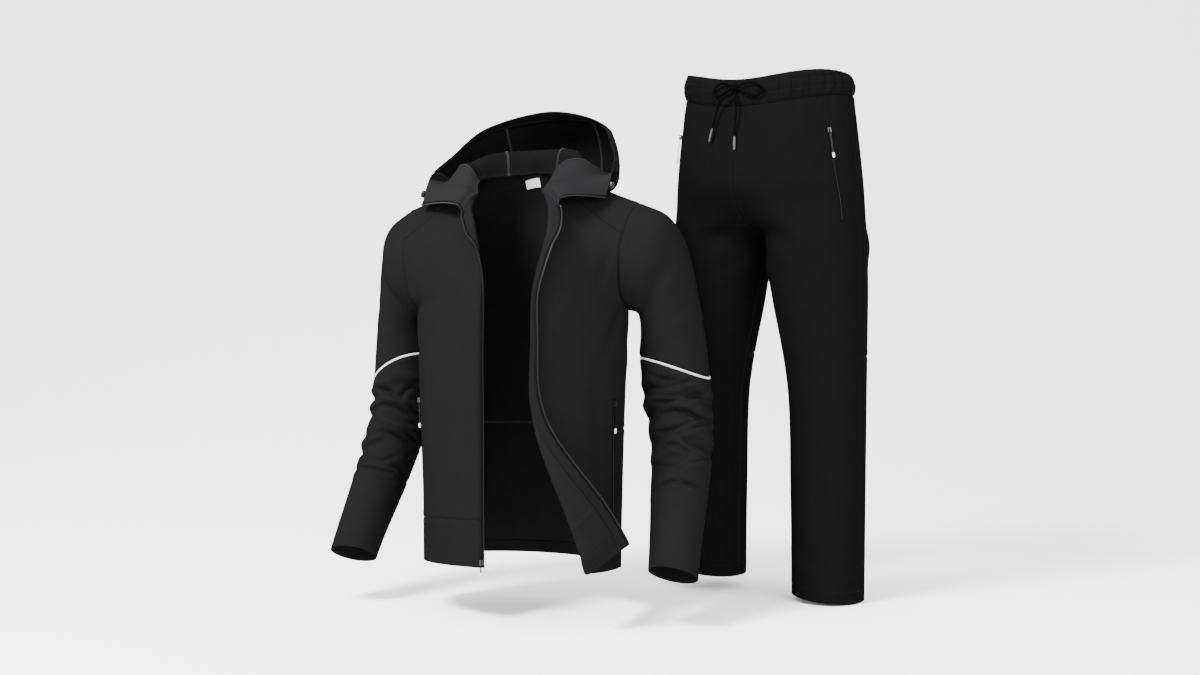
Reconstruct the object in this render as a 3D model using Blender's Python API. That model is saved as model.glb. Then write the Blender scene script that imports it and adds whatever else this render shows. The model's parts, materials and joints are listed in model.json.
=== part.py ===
"""A hooded zip jacket and straight trousers, both filled out and hollow, with nobody in them.

Metres, Z up, the fronts facing -Y. The origin is between the jacket's shoulders, level with the
highest point of the shoulder line. The trousers stand behind the jacket's left sleeve, turned
towards -X.
"""
import bpy
import bmesh
import numpy as np
from mathutils.kdtree import KDTree

for old in list(bpy.data.objects):
    bpy.data.objects.remove(old, do_unlink=True)

# sizes
WALL = 0.002
SEAM_GAP = 0.0003
SLEEVE_STEPS = 20
HALF_RING = 10
ARM_FRONT = 6
UNDERARM = 0.468
SHOULDER = 0.8
BACK_NECK = 0.9
HEM_BAND = 0.075
INSERT_AT_ARM = UNDERARM + ARM_FRONT * 0.664 / SLEEVE_STEPS
INSERT_AT_NECK = 0.735
BACK_SEAM = 5
TURN_RADIUS = 0.007
TURN_ANGLE = np.radians(145)
TROUSER_TURN = np.radians(-15)
TROUSER_AT = (0.388, 0.332)

# the jacket's sections: place, side point, direction there, edge or centre point, direction there
FRONT = [
    (0.000, 0.195, 0.010, -0.722, 0.00, -0.205, 0.0, 0.013, -0.135, -0.713, -0.285, 0.0, 0.0),
    (0.075, 0.196, 0.010, -0.643, 0.00, -0.205, 0.0, 0.013, -0.136, -0.628, -0.285, 0.0, 0.0),
    (0.235, 0.200, 0.010, -0.483, 0.00, -0.205, 0.0, 0.013, -0.136, -0.468, -0.290, 0.0, 0.0),
    (0.400, 0.208, 0.010, -0.318, 0.00, -0.200, 0.0, 0.013, -0.138, -0.303, -0.290, 0.0, 0.0),
    (0.468, 0.211, 0.010, -0.250, 0.00, -0.180, 0.0, 0.013, -0.135, -0.235, -0.280, 0.0, 0.0),
    (0.525, 0.213, -0.030, -0.226, -0.05, -0.130, 0.0, 0.013, -0.130, -0.178, -0.260, 0.0, 0.02),
    (0.580, 0.217, -0.050, -0.180, -0.10, -0.100, 0.0, 0.013, -0.120, -0.123, -0.220, 0.01, 0.04),
    (0.605, 0.219, -0.052, -0.160, -0.11, -0.080, 0.01, 0.013, -0.113, -0.098, -0.200, 0.02, 0.06),
    (0.650, 0.222, -0.048, -0.130, -0.14, -0.050, 0.03, 0.040, -0.085, -0.058, -0.160, 0.03, 0.09),
    (0.720, 0.229, -0.028, -0.086, -0.16, -0.020, 0.06, 0.070, -0.035, -0.016, -0.150, 0.02, 0.06),
    (0.800, 0.236, 0.010, -0.059, -0.16, 0.000, 0.06, 0.078, 0.015, 0.000, -0.150, 0.00, 0.05),
]
BACK = [
    (0.850, 0.232, 0.040, -0.073, -0.16, 0.020, 0.06, 0.066, 0.048, 0.006, -0.150, 0.02, 0.04),
    (0.900, 0.226, 0.062, -0.098, -0.15, 0.040, 0.05, 0.000, 0.080, 0.013, -0.240, 0.03, 0.03),
    (0.950, 0.222, 0.074, -0.130, -0.13, 0.060, 0.02, 0.000, 0.104, -0.045, -0.230, 0.0, 0.0),
    (1.010, 0.218, 0.076, -0.175, -0.11, 0.080, 0.0, 0.000, 0.117, -0.105, -0.240, 0.0, 0.0),
    (1.075, 0.213, 0.050, -0.226, -0.06, 0.100, 0.0, 0.000, 0.124, -0.172, -0.250, 0.0, 0.0),
    (1.132, 0.211, 0.010, -0.250, 0.00, 0.150, 0.0, 0.000, 0.125, -0.240, -0.280, 0.0, 0.0),
    (1.200, 0.208, 0.010, -0.318, 0.00, 0.160, 0.0, 0.000, 0.122, -0.310, -0.290, 0.0, 0.0),
    (1.365, 0.200, 0.010, -0.483, 0.00, 0.165, 0.0, 0.000, 0.116, -0.480, -0.290, 0.0, 0.0),
    (1.525, 0.196, 0.010, -0.643, 0.00, 0.170, 0.0, 0.000, 0.122, -0.645, -0.285, 0.0, 0.0),
    (1.600, 0.195, 0.010, -0.722, 0.00, 0.170, 0.0, 0.000, 0.126, -0.722, -0.285, 0.0, 0.0),
]
# the open left front instead: place, direction at the side, edge point, direction there
SWUNG = [
    (0.000, 0.0, -0.270, 0.0, 0.204, -0.262, -0.700, 0.00, -0.270, 0.0),
    (0.075, 0.0, -0.270, 0.0, 0.170, -0.257, -0.625, -0.06, -0.250, 0.0),
    (0.150, 0.0, -0.265, 0.0, 0.144, -0.249, -0.550, -0.12, -0.210, 0.0),
    (0.235, 0.0, -0.260, 0.0, 0.115, -0.236, -0.466, -0.17, -0.160, 0.0),
    (0.320, 0.0, -0.250, 0.0, 0.111, -0.222, -0.382, -0.19, -0.120, 0.0),
    (0.400, 0.0, -0.240, 0.0, 0.109, -0.210, -0.303, -0.20, -0.100, 0.0),
    (0.468, 0.0, -0.220, 0.0, 0.104, -0.195, -0.235, -0.20, -0.080, 0.0),
    (0.525, -0.04, -0.160, 0.0, 0.103, -0.178, -0.178, -0.18, -0.060, 0.02),
    (0.580, -0.09, -0.120, 0.0, 0.099, -0.156, -0.123, -0.16, -0.040, 0.04),
    (0.605, -0.10, -0.090, 0.01, 0.094, -0.143, -0.098, -0.15, -0.030, 0.06),
    (0.650, -0.13, -0.060, 0.03, 0.084, -0.098, -0.058, -0.14, -0.010, 0.08),
    (0.720, -0.16, -0.020, 0.06, 0.078, -0.038, -0.018, -0.14, 0.015, 0.06),
    (0.800, -0.16, 0.000, 0.06, 0.078, 0.015, 0.000, -0.15, 0.00, 0.05),
]
# how wide a strip of each front is turned back: place, width
TURN_LEFT = [
    (0.0, 0.101), (0.075, 0.078), (0.15, 0.055), (0.235, 0.034), (0.30, 0.0240), (0.40, 0.0195), (0.50, 0.0205),
    (0.56, 0.026), (0.605, 0.033), (0.65, 0.024), (0.70, -0.01), (0.80, -0.05),
]
TURN_RIGHT = [
    (0.0, -0.20), (0.38, -0.02), (0.43, -0.003), (0.48, 0.003), (0.53, 0.008), (0.57, 0.015), (0.605, 0.027),
    (0.65, 0.022), (0.70, -0.01), (0.80, -0.05),
]
# the sleeve: place, outermost point, innermost point, half its depth
SLEEVE = [
    (1.0, 0.280, 0.038, -0.082, 0.228, 0.026, -0.258, 0.070),
    (2.0, 0.306, 0.056, -0.130, 0.228, 0.046, -0.277, 0.069),
    (3.0, 0.323, 0.066, -0.212, 0.224, 0.060, -0.303, 0.068),
    (4.0, 0.338, 0.071, -0.310, 0.219, 0.068, -0.336, 0.066),
    (5.0, 0.350, 0.072, -0.428, 0.226, 0.072, -0.422, 0.063),
    (6.0, 0.357, 0.050, -0.512, 0.246, 0.050, -0.506, 0.056),
    (7.0, 0.361, 0.005, -0.600, 0.261, 0.005, -0.596, 0.050),
    (8.0, 0.365, -0.044, -0.687, 0.276, -0.044, -0.683, 0.045),
    (8.4, 0.367, -0.060, -0.718, 0.280, -0.060, -0.714, 0.044),
]
PIPING_AT = (4.02, 0.51)
PIPING_WIDE = 0.0042
# the lower sleeve's folds: height, angle round, reach round, slope, depth, width
FOLDS_LEFT = [
    (-0.392, 60, 75, 0.030, 0.0052, 0.010), (-0.410, 150, 80, -0.034, 0.0060, 0.011),
    (-0.437, 50, 80, 0.036, 0.0064, 0.011), (-0.452, 145, 75, -0.034, 0.0060, 0.011),
    (-0.480, 65, 75, 0.034, 0.0062, 0.010), (-0.498, 150, 80, -0.032, 0.0056, 0.011),
    (-0.527, 70, 80, 0.028, 0.0048, 0.011), (-0.430, 270, 85, 0.020, 0.0050, 0.012),
    (-0.475, 285, 85, -0.022, 0.0050, 0.012), (-0.400, 300, 70, -0.020, 0.0040, 0.010),
]
FOLDS_RIGHT = [
    (-0.398, 45, 70, 0.026, 0.0050, 0.010), (-0.418, 130, 85, -0.030, 0.0064, 0.012),
    (-0.446, 60, 80, 0.030, 0.0056, 0.010), (-0.462, 160, 75, -0.036, 0.0066, 0.011),
    (-0.492, 55, 85, 0.034, 0.0060, 0.012), (-0.520, 120, 85, -0.030, 0.0052, 0.011),
    (-0.440, 275, 85, 0.022, 0.0050, 0.012), (-0.484, 290, 85, -0.020, 0.0046, 0.012),
]
# the hood from neck seam to opening edge, nine points a row, at these places round the neck
HOOD_AT = (0.5975, 0.65, 0.72, 0.8, 0.85, 0.9)
HOOD = [
    [(0.100, -0.105, -0.092), (0.112, -0.099, -0.088), (0.124, -0.093, -0.084), (0.136, -0.087, -0.080),
     (0.147, -0.080, -0.077), (0.157, -0.072, -0.074), (0.167, -0.064, -0.071), (0.175, -0.057, -0.069),
     (0.183, -0.049, -0.067)],
    [(0.100, -0.072, -0.047), (0.112, -0.066, -0.044), (0.124, -0.060, -0.042), (0.136, -0.054, -0.041),
     (0.147, -0.048, -0.041), (0.158, -0.042, -0.041), (0.169, -0.036, -0.040), (0.179, -0.031, -0.038),
     (0.188, -0.026, -0.034)],
    [(0.088, -0.032, 0.004), (0.106, -0.020, 0.016), (0.126, -0.006, 0.018), (0.144, 0.010, 0.010),
     (0.160, 0.026, 0.000), (0.174, 0.036, 0.000), (0.184, 0.030, 0.005), (0.188, 0.013, 0.009),
     (0.187, -0.002, 0.007)],
    [(0.094, 0.018, 0.026), (0.107, 0.023, 0.035), (0.118, 0.030, 0.027), (0.128, 0.045, 0.000),
     (0.144, 0.078, -0.018), (0.157, 0.098, 0.002), (0.162, 0.086, 0.032), (0.166, 0.066, 0.048),
     (0.167, 0.048, 0.051)],
    [(0.071, 0.050, 0.040), (0.079, 0.055, 0.052), (0.089, 0.066, 0.044), (0.100, 0.088, 0.006),
     (0.114, 0.121, -0.024), (0.126, 0.152, -0.008), (0.129, 0.148, 0.054), (0.127, 0.122, 0.097),
     (0.118, 0.099, 0.109)],
    [(0.000, 0.078, 0.045), (0.000, 0.085, 0.058), (0.000, 0.096, 0.047), (0.000, 0.116, 0.004),
     (0.000, 0.148, -0.030), (0.000, 0.190, -0.010), (0.000, 0.206, 0.062), (0.000, 0.176, 0.120),
     (0.000, 0.130, 0.139)],
]
CASING_AT = 8.3
# the trousers' sections from band to hem, in their own frame: place, side point, inner point
LEG = [
    (0, 0.178, 0.0, 0.173), (1, 0.188, 0.0, 0.080), (2, 0.195, 0.0, 0.000), (3, 0.198, 0.0, -0.050),
    (4, 0.200, 0.0, -0.090), (5, 0.201, 0.0, -0.125), (6, 0.201, 0.0, -0.165), (7, 0.202, 0.0, -0.230),
    (8, 0.202, 0.0, -0.400), (9, 0.200, 0.0, -0.600), (10, 0.198, 0.0, -0.787),
]
# depth of the curve at the side, inner point, direction there
LEG_FRONT = [
    (0, -0.190, 0.000, -0.120, 0.142, -0.27, 0.00, 0.00), (1, -0.210, 0.000, -0.130, 0.070, -0.29, 0.00, 0.00),
    (2, -0.222, 0.000, -0.135, -0.005, -0.30, 0.00, 0.00), (3, -0.240, 0.000, -0.112, -0.052, -0.27, 0.06, -0.02),
    (4, -0.310, 0.000, -0.070, -0.086, -0.20, 0.20, -0.03), (5, -0.370, 0.000, 0.000, -0.108, -0.12, 0.44, -0.02),
    (6, -0.370, 0.012, 0.000, -0.165, -0.05, 0.430, 0.00), (7, -0.370, 0.027, 0.000, -0.230, -0.02, 0.395, 0.00),
    (8, -0.310, 0.058, 0.000, -0.400, 0.00, 0.30, 0.00), (9, -0.295, 0.064, 0.000, -0.600, 0.00, 0.29, 0.00),
    (10, -0.288, 0.066, 0.000, -0.787, 0.00, 0.285, 0.00),
]
LEG_BACK = [
    (0, 0.190, 0.000, 0.115, 0.195, -0.27, 0.00, 0.00), (1, 0.215, 0.000, 0.132, 0.095, -0.29, 0.00, 0.00),
    (2, 0.238, 0.000, 0.148, 0.005, -0.30, 0.00, 0.00), (3, 0.255, 0.000, 0.140, -0.055, -0.28, -0.06, -0.02),
    (4, 0.330, 0.000, 0.090, -0.096, -0.18, -0.19, -0.03), (5, 0.460, 0.000, 0.000, -0.108, -0.14, -0.38, -0.03),
    (6, 0.420, 0.012, 0.000, -0.165, -0.04, -0.405, 0.00), (7, 0.405, 0.027, 0.000, -0.230, 0.00, -0.39, 0.00),
    (8, 0.330, 0.058, 0.000, -0.400, 0.00, -0.32, 0.00), (9, 0.310, 0.064, 0.000, -0.600, 0.00, -0.305, 0.00),
    (10, 0.296, 0.066, 0.000, -0.787, 0.00, -0.292, 0.00),
]
LEG_STEPS = (0, 0.5, 1, 1.5, 2, 2.5, 3, 3.5, 4, 4.5, 5, 5.5, 6, 6.5, 7, 7.3, 7.65, 8.1, 8.6, 9.1, 9.55, 10)
KNEE_SEAM = 16
LEG_COLUMNS = 8
# the waistband's rim: half width, half depth in front and behind, heights in front, at the side, behind
BAND_TOP = (0.168, 0.113, 0.108, 0.194, 0.217, 0.243)
BAND_GATHERS = 34
# how far the bow is pushed in against the band
BOW_IN = 0.0036


def material(name, colour, rough=0.8, metal=0.0):
    m = bpy.data.materials.new(name)
    m.use_nodes = True
    b = m.node_tree.nodes["Principled BSDF"]
    b.inputs["Base Color"].default_value = (*colour, 1)
    b.inputs["Roughness"].default_value = rough
    b.inputs["Metallic"].default_value = metal
    return m


def smooth(rows, at):
    """A smooth curve through a table's rows, whose first column is the place."""
    rows = np.asarray(rows, float)
    at = np.asarray(at, float)
    x, y = rows[:, 0], rows[:, 1:]
    slope = np.gradient(y, x, axis=0)
    i = np.clip(np.searchsorted(x, at, side="right") - 1, 0, len(x) - 2)
    span = (x[i + 1] - x[i])[..., None]
    t = np.clip((at[..., None] - x[i][..., None]) / span, 0, 1)
    return (
        (2 * t**3 - 3 * t**2 + 1) * y[i] + (t**3 - 2 * t**2 + t) * span * slope[i]
        + (3 * t**2 - 2 * t**3) * y[i + 1] + (t**3 - t**2) * span * slope[i + 1]
    )


def across(a, ta, b, tb, u):
    """A section from a to b, leaving and arriving in the directions ta and tb."""
    t = u[..., None]
    return (
        (2 * t**3 - 3 * t**2 + 1) * a + (t**3 - 2 * t**2 + t) * ta
        + (3 * t**2 - 2 * t**3) * b + (t**3 - t**2) * tb
    )


def unit(v):
    return v / np.maximum(np.linalg.norm(v, axis=-1, keepdims=True), 1e-12)


# the jacket's body
RIGHT_ROWS = np.array(FRONT + BACK)
LEFT_ROWS = RIGHT_ROWS.copy()
LEFT_ROWS[: len(FRONT), 4:] = smooth(SWUNG, RIGHT_ROWS[: len(FRONT), 0])
SIDE_SEAM = np.array(FRONT)[:5, :4]
SIDES = {"left": (1, LEFT_ROWS, TURN_LEFT), "right": (-1, RIGHT_ROWS, TURN_RIGHT)}


def torso(side, u, l):
    """Sections from the side seam or armhole (u 0) to the zip, neck or back centre (u 1)."""
    sign, rows, _ = SIDES[side]
    u, l = np.broadcast_arrays(np.asarray(u, float), np.asarray(l, float))
    row = smooth(rows, l)
    low = np.minimum(l, 1.6 - l)
    seam = smooth(SIDE_SEAM, np.minimum(low, UNDERARM))
    a = np.where((low < UNDERARM)[..., None], seam, row[..., 0:3])
    neck = smooth(rows[: len(FRONT) + 2, [0, 7, 8, 9]], np.minimum(l, BACK_NECK))
    spine = smooth(rows[len(FRONT) + 1:, [0, 7, 8, 9]], np.maximum(l, BACK_NECK))
    b = np.where((l > BACK_NECK)[..., None], spine, neck)
    return across(a, row[..., 3:6], b, row[..., 9:12], u) * np.array([sign, 1, 1])


WIDTH_AT = np.linspace(0, 1.6, 161)
WIDTHS = {
    s: np.linalg.norm(np.diff(torso(s, np.linspace(0, 1, 33)[None, :], WIDTH_AT[:, None]), axis=1), axis=-1).sum(1)
    for s in SIDES
}


def width(side, l):
    return np.interp(l, WIDTH_AT, WIDTHS[side])


def torso_normal(side, u, l, e=1e-3):
    du = torso(side, np.minimum(u + e, 1), l) - torso(side, np.maximum(u - e, 0), l)
    dl = torso(side, u, np.minimum(l + e, 1.6)) - torso(side, u, np.maximum(l - e, 0))
    return unit(np.cross(du, dl)) * -SIDES[side][0]


def sheet(side, u, l):
    """The body with its zip edge turned back round a soft roll."""
    turn = SIDES[side][2]
    u, l = np.broadcast_arrays(np.asarray(u, float), np.asarray(l, float))
    plain = torso(side, u, l)
    p = (1 - u) * width(side, l)
    low = np.clip(l, 0, SHOULDER)
    d = smooth(turn, low)[..., 0] - p
    slope = (smooth(turn, low + 1e-3)[..., 0] - smooth(turn, low - 1e-3)[..., 0]) / 2e-3
    past = (d > 0) & (l < SHOULDER)
    cos = 1 / np.sqrt(1 + slope**2)
    d = d * cos
    foot_l = np.clip(l - d * slope * cos, 0, SHOULDER)
    foot_p = p + d * cos
    foot_u = np.clip(1 - foot_p / width(side, foot_l), 0, 1)
    foot = torso(side, foot_u, foot_l)
    n = torso_normal(side, foot_u, foot_l)
    e = 1e-3
    ahead = np.clip(1 - smooth(turn, foot_l + e)[..., 0] / width(side, foot_l + e), 0, 1)
    behind = np.clip(1 - smooth(turn, foot_l - e)[..., 0] / width(side, foot_l - e), 0, 1)
    along = unit(torso(side, ahead, foot_l + e) - torso(side, behind, foot_l - e))
    out = unit(np.cross(along, n))
    toward = torso(side, np.clip(foot_u + e, 0, 1), foot_l) - torso(side, np.clip(foot_u - e, 0, 1), foot_l)
    out = np.where((out * toward).sum(-1, keepdims=True) < 0, -out, out)
    a = np.clip(d / TURN_RADIUS, 0, TURN_ANGLE)[..., None]
    rest = np.maximum(d - TURN_RADIUS * TURN_ANGLE, 0)[..., None]
    turned = (
        foot + TURN_RADIUS * np.sin(a) * out + TURN_RADIUS * (1 - np.cos(a)) * n
        + rest * (np.cos(TURN_ANGLE) * out + np.sin(TURN_ANGLE) * n)
    )
    return np.where(past[..., None], turned, plain)


def insert_seam(u):
    """Where the seam between front and shoulder insert runs."""
    return INSERT_AT_ARM + (INSERT_AT_NECK - INSERT_AT_ARM) * u


def front_place(u, v):
    """Rows of the front, gathered under the slanting seam at its top."""
    low = 0.551
    return np.where(v > low, low + (insert_seam(u) - low) * (v - low) / (INSERT_AT_ARM - low), v)


def sleeve(side, l, s):
    """Rings from the armhole to the cuff, swept along the arm."""
    sign, _, _ = SIDES[side]
    l, s = np.broadcast_arrays(np.asarray(l, float), np.asarray(s, float))
    angle = 2 * np.pi * (l - UNDERARM) / 0.664
    rows = np.array(SLEEVE)
    keys = []
    arm = torso("left", 0.0, l[0] if l.ndim > 1 else l)
    ring_angle = angle[0] if angle.ndim > 1 else angle
    centres = (rows[:, 1:4] + rows[:, 4:7]) / 2
    heading = np.gradient(centres, axis=0) * np.array([1, 0, 1])
    heading[4:, 1] = np.gradient(centres, axis=0)[4:, 1]
    heading = unit(heading)
    for k, row in enumerate(rows):
        half = (row[1:4] - row[4:7]) / 2
        deep = unit(np.cross(heading[k], half)) * row[7]
        if deep[1] < 0:
            deep = -deep
        keys.append(centres[k] - np.cos(ring_angle)[:, None] * half - np.sin(ring_angle)[:, None] * deep)
    keys = np.array([arm] + keys)
    place = np.concatenate([[0.0], rows[:, 0]])
    table = np.concatenate([place[:, None], keys.reshape(len(place), -1)], axis=1)
    at = s[:, 0] if s.ndim > 1 else s
    if s.ndim > 1 and np.ptp(s, axis=1).max() > 1e-9:
        out = smooth(table, s).reshape(*s.shape, len(ring_angle), 3)
        points = out[:, np.arange(s.shape[1]), np.arange(s.shape[1])]
    else:
        points = smooth(table, at).reshape(len(at), len(ring_angle), 3)
    centre = smooth(np.concatenate([rows[:, :1], centres], axis=1), s)
    degrees = np.degrees(angle)
    fold = np.zeros(s.shape)
    for z, mid, reach, slope, depth, wide in (FOLDS_LEFT if side == "left" else FOLDS_RIGHT):
        off = (degrees - mid + 180) % 360 - 180
        near = np.where(np.abs(off) < reach, np.cos(np.radians(90 * off / reach)) ** 2, 0)
        line = z + slope * off / 90
        gap = (points[..., 2] - line) / wide
        fold += depth * near * (np.exp(-gap**2) - 0.8 * np.exp(-(gap - 1.5) ** 2))
    away = unit((points - centre) * np.array([1, 1, 0.3]))
    points = points - away * fold[..., None]
    return points * np.array([sign, 1, 1])


def piping_place(l):
    return PIPING_AT[0] + PIPING_AT[1] * (1 - np.cos(2 * np.pi * (l - UNDERARM) / 0.664)) / 2


def hood(side, l, v):
    """The hood from the neck seam (v 0) over its rolled rim and round its bag to the edge (v 9)."""
    sign = SIDES[side][0]
    l, v = np.broadcast_arrays(np.asarray(l, float), np.asarray(v, float))
    keys = np.array(HOOD)
    keys = np.concatenate([keys, keys[-2:-1] * np.array([-1, 1, 1])])
    at = np.array(HOOD_AT + (0.95,))
    points = smooth(np.concatenate([at[:, None], keys.reshape(len(at), -1)], axis=1), l).reshape(*l.shape, 9, 3)
    neck = sheet(side, 1.0, l) * np.array([sign, 1, 1])
    # the front of the collar lies turned out: it runs straight from neck to edge, a little arched
    k = np.arange(1, 10)[:, None] / 9
    arch = np.sin(np.pi * k**0.5) * np.array([-0.004, -0.011, 0.014])
    flat = neck[..., None, :] * (1 - k) + points[..., 8:9, :] * k + arch
    out = np.clip((0.715 - l) / 0.055, 0, 1)[..., None, None]
    points = points * (1 - out) + flat * out
    points = np.concatenate([neck[..., None, :], points], axis=-2)
    slope = np.gradient(points, axis=-2)
    i = np.clip(v.astype(int), 0, 8)
    t = (v - i)[..., None]

    def pick(a, k):
        return np.take_along_axis(a, k[..., None, None], axis=-2)[..., 0, :]

    p = (
        (2 * t**3 - 3 * t**2 + 1) * pick(points, i) + (t**3 - 2 * t**2 + t) * pick(slope, i)
        + (3 * t**2 - 2 * t**3) * pick(points, i + 1) + (t**3 - t**2) * pick(slope, i + 1)
    )
    return p * np.array([sign, 1, 1])


def turned(p):
    """From the trousers' own frame to where they stand."""
    c, s = np.cos(TROUSER_TURN), np.sin(TROUSER_TURN)
    x, y, z = p[..., 0], p[..., 1], p[..., 2]
    drop = np.clip((-0.2 - z) / 0.6, 0, 1) * 0.10 * x + np.clip((z + 0.1) / 0.3, 0, 1) * 0.07 * x
    return np.stack([TROUSER_AT[0] + c * x - s * y, TROUSER_AT[1] + s * x + c * y, z - drop], axis=-1)


def leg(side, part, u, t):
    """One side's front or back, where it stands."""
    return turned(own_leg(side, part, u, t))


def own_leg(side, part, u, t):
    """Sections from the outer seam (u 0) to the centre seam or inseam (u 1), in the trousers' frame."""
    sign = SIDES[side][0]
    u, t = np.broadcast_arrays(np.asarray(u, float), np.asarray(t, float))
    a = smooth(LEG, t)
    row = smooth(LEG_FRONT if part == "front" else LEG_BACK, t)
    ta = np.stack([0 * u, row[..., 0], 0 * u], axis=-1)
    inner = row[..., 1:4]
    low = smooth(LEG_FRONT, np.maximum(t, 5))[..., 1:4]
    inner = np.where((t >= 5)[..., None], low, inner * np.array([0, 1, 1]))
    return across(a, ta, inner, row[..., 4:7], u) * np.array([sign, 1, 1])


def band(turn, v):
    """The waistband, gathered by its elastic: turn runs from the front centre to the left."""
    turn, v = np.broadcast_arrays(np.asarray(turn, float), np.asarray(v, float))
    quarter = np.abs(turn) / (np.pi / 2)
    u = np.where(quarter < 1, 1 - quarter, quarter - 1)
    cell = np.clip(np.floor(u * LEG_COLUMNS), 0, LEG_COLUMNS - 1)
    ends = []
    for k in (0, 1):
        at = (cell + k) / LEG_COLUMNS
        ends.append(np.where((quarter < 1)[..., None], own_leg("left", "front", at, 0.0), own_leg("left", "back", at, 0.0)))
    part = (u * LEG_COLUMNS - cell)[..., None]
    low = (ends[0] * (1 - part) + ends[1] * part) * np.stack(
        [np.sign(turn) + (turn == 0), 1 + 0 * turn, 1 + 0 * turn], axis=-1)
    wide, front_deep, back_deep, front_high, side_high, back_high = BAND_TOP
    c, s = np.cos(turn), np.sin(turn)
    bow = 1 + 0.055 * np.sin(2 * turn) ** 2
    top = np.stack([
        wide * s * bow, -np.where(c > 0, front_deep, back_deep) * c * bow,
        side_high + np.where(c > 0, front_high - side_high, back_high - side_high) * c**4,
    ], axis=-1)
    puff = 0.005 * np.sin(np.pi * v) + 0.0016 * np.sin(BAND_GATHERS * turn) * np.sin(np.pi * v)
    p = low + (top - low) * v[..., None]
    p = p + puff[..., None] * unit(p * np.array([1, 1, 0]) + 1e-9)
    return turned(p)


# building solids
PANELS = []


def panel(name, mid, flip, paint, wrap=False, clear=SEAM_GAP / 2):
    """Lists a cloth panel by the points of its middle, to be thickened once all are known."""
    PANELS.append(dict(name=name, mid=np.array(mid), flip=flip, paint=paint, wrap=wrap, clear=clear))


def grid_normals(p):
    g = p["mid"]
    if p["wrap"]:
        du = np.roll(g, -1, axis=1) - np.roll(g, 1, axis=1)
    else:
        du = np.gradient(g, axis=1)
    dl = np.gradient(g, axis=0)
    return unit(np.cross(du, dl)) * p["flip"]


def edge_masks(p):
    rows, cols = p["mid"].shape[:2]
    first = np.zeros((rows, cols), bool)
    first[0] = True
    first[-1] = True
    side = np.zeros((rows, cols), bool)
    if not p["wrap"]:
        side[:, 0] = True
        side[:, -1] = True
    return first, side


def thicken_all():
    """Gives every panel its wall: neighbours share the direction of the wall along their seam."""
    for p in PANELS:
        p["normal"] = grid_normals(p)
    rims = [p["mid"][np.logical_or(*edge_masks(p))] for p in PANELS]
    leans = np.concatenate([p["normal"][np.logical_or(*edge_masks(p))] for p in PANELS])
    tree = KDTree(len(leans))
    for k, point in enumerate(np.concatenate(rims)):
        tree.insert(point, k)
    tree.balance()

    def shared(point):
        return leans[[hit[1] for hit in tree.find_range(point, 2e-5)]].sum(axis=0)

    for p in PANELS:
        g, n = p["mid"], p["normal"].copy()
        first, side = edge_masks(p)
        edge = first | side
        n[edge] = unit(np.array([shared(point) for point in g[edge]]))
        rows, cols = g.shape[:2]
        move = np.zeros_like(g)
        if p["wrap"]:
            along = np.roll(g, -1, axis=1) - np.roll(g, 1, axis=1)
        else:
            along = np.gradient(g, axis=1)
        for i, j in ((0, 1), (rows - 1, rows - 2)):
            into = g[j] - g[i]
            t = unit(along[i])
            into = into - (into * t).sum(-1, keepdims=True) * t
            into = into - (into * n[i]).sum(-1, keepdims=True) * n[i]
            move[i] += unit(into) * (p["clear"] if i == 0 else SEAM_GAP / 2)
        if not p["wrap"]:
            down = np.gradient(g, axis=0)
            for i, j in ((0, 1), (cols - 1, cols - 2)):
                into = g[:, j] - g[:, i]
                t = unit(down[:, i])
                into = into - (into * t).sum(-1, keepdims=True) * t
                into = into - (into * n[:, i]).sum(-1, keepdims=True) * n[:, i]
                move[:, i] += unit(into) * SEAM_GAP / 2
        p["placed"], p["walls"] = g + move, n
        solid(p["name"], g + move, n, WALL, p["paint"], p["wrap"])


def solid(name, mid, n, wall, paint, wrap=False, out=0.0):
    """A closed wall round a grid of points."""
    rows, cols = mid.shape[:2]
    outer = (mid + n * (out + wall / 2)).reshape(-1, 3)
    inner = (mid + n * (out - wall / 2)).reshape(-1, 3)
    half = rows * cols
    verts = np.concatenate([outer, inner])
    faces = []
    last = cols if wrap else cols - 1
    for i in range(rows - 1):
        for j in range(last):
            k = (j + 1) % cols
            a, b, c, d = i * cols + j, i * cols + k, (i + 1) * cols + k, (i + 1) * cols + j
            faces.append((a, b, c, d))
            faces.append((a + half, d + half, c + half, b + half))
    edges = []
    for j in range(last):
        for i in (0, rows - 1):
            edges.append((i * cols + j, i * cols + (j + 1) % cols))
    if not wrap:
        for i in range(rows - 1):
            for j in (0, cols - 1):
                edges.append((i * cols + j, (i + 1) * cols + j))
    flat = mid.reshape(-1, 3)
    for a, b in edges:
        if (flat[a] - flat[b]) @ np.array([0.577, 0.313, 0.755]) > 0:
            a, b = b, a
        faces.append((a, b, b + half))
        faces.append((a, b + half, a + half))
    return body(name, verts, faces, paint)


def body(name, verts, faces, paint):
    mesh = bpy.data.meshes.new(name)
    mesh.from_pydata([tuple(v) for v in verts], [], faces)
    bm = bmesh.new()
    bm.from_mesh(mesh)
    bmesh.ops.recalc_face_normals(bm, faces=bm.faces)
    bm.to_mesh(mesh)
    bm.free()
    obj = bpy.data.objects.new(name, mesh)
    bpy.context.scene.collection.objects.link(obj)
    mesh.materials.append(paint)
    return obj


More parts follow.
